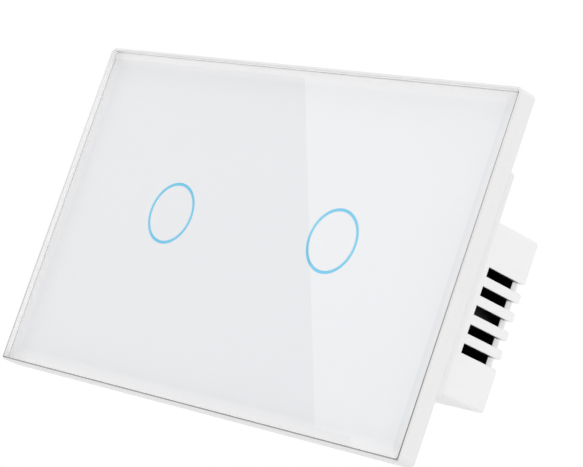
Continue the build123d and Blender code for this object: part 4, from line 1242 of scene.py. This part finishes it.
def add_lamp(name, place, aim, size, watts):
    """Adds a square soft lamp that faces a point."""
    light = bpy.data.lights.new(name, "AREA")
    light.shape = "SQUARE"
    light.size = size
    light.energy = watts
    lamp = bpy.data.objects.new(name, light)
    lamp.location = place
    lamp.rotation_euler = (Vector(aim) - Vector(place)).to_track_quat("-Z", "Y").to_euler()
    lamp.visible_camera = False
    bpy.context.collection.objects.link(lamp)


part_middle = (0, 0.01, 0)
add_lamp("top_lamp", place=(0.15, -0.2, 1.1), aim=part_middle, size=0.9, watts=1.6)
add_lamp("side_lamp", place=(1.1, 0.25, 0.15), aim=part_middle, size=0.8, watts=1.2)

# Softbox at the left front: a flat sheet of light that the right part of the glass mirrors.
# Its left edge is the slanting line where that reflection ends. The strips above and to the
# left of it show only in the sloped margins of the glass. Only a gloss shows any of it.
weave_mm = 125
softbox_y = -0.4694
slant_top_x = -0.5308
slant_foot_x = -0.3455
sheet_right_x = -0.335
sheet_top_z = 0.2155
sheet_foot_z = -0.1466
strip_left_x = -1.2
strip_right_x = -0.75
strip_top_z = 0.45
strip_foot_z = -0.25
softbox_mesh = bpy.data.meshes.new("studio_softbox")
softbox_mesh.from_pydata(
    [
        (x, softbox_y, z)
        for x, z in (
            (slant_top_x, sheet_top_z),
            (slant_foot_x, sheet_foot_z),
            (sheet_right_x, sheet_foot_z),
            (sheet_right_x, sheet_top_z),
            (strip_left_x, sheet_top_z),
            (sheet_right_x, strip_top_z),
            (strip_left_x, strip_top_z),
            (strip_left_x, strip_foot_z),
            (strip_right_x, strip_foot_z),
            (strip_right_x, sheet_top_z),
        )
    ],
    [],
    [(0, 1, 2, 3), (4, 3, 5, 6), (7, 8, 9, 4)],
)
softbox = bpy.data.objects.new("studio_softbox", softbox_mesh)
bpy.context.collection.objects.link(softbox)
softbox.visible_camera = False
softbox.visible_diffuse = False
softbox.visible_shadow = False
softbox.visible_transmission = False
softbox_cloth, tree, shader, place = start_finish("softbox_cloth")
weave = add_node(
    tree, "ShaderNodeTexNoise", inputs={"Vector": place, "Scale": 1000 / weave_mm, "Detail": 1}
)
bright = add_node(
    tree, "ShaderNodeMapRange", inputs={"Value": weave.outputs[0], "To Min": 1.8, "To Max": 1.9}
)
lit = add_node(tree, "ShaderNodeEmission", inputs={"Color": (1, 1, 1, 1), "Strength": bright.outputs[0]})
tree.links.new(lit.outputs[0], tree.nodes["Material Output"].inputs["Surface"])
softbox_mesh.materials.append(softbox_cloth)

# Camera: where the photograph was taken from, fitted to the panel's four edges.
view_data = bpy.data.cameras.new("photo_camera")
view_data.sensor_width = 36
view_data.lens = 146.333
view_data.clip_start = 0.01
view_data.clip_end = 20
view = bpy.data.objects.new("photo_camera", view_data)
view.location = (0.347866, -0.31596, -0.066312)
view.rotation_euler = [math.radians(turn) for turn in (99.01893, -18.74123, 44.46996)]
bpy.context.collection.objects.link(view)
bpy.context.scene.camera = view
bpy.context.scene.view_settings.view_transform = "Standard"
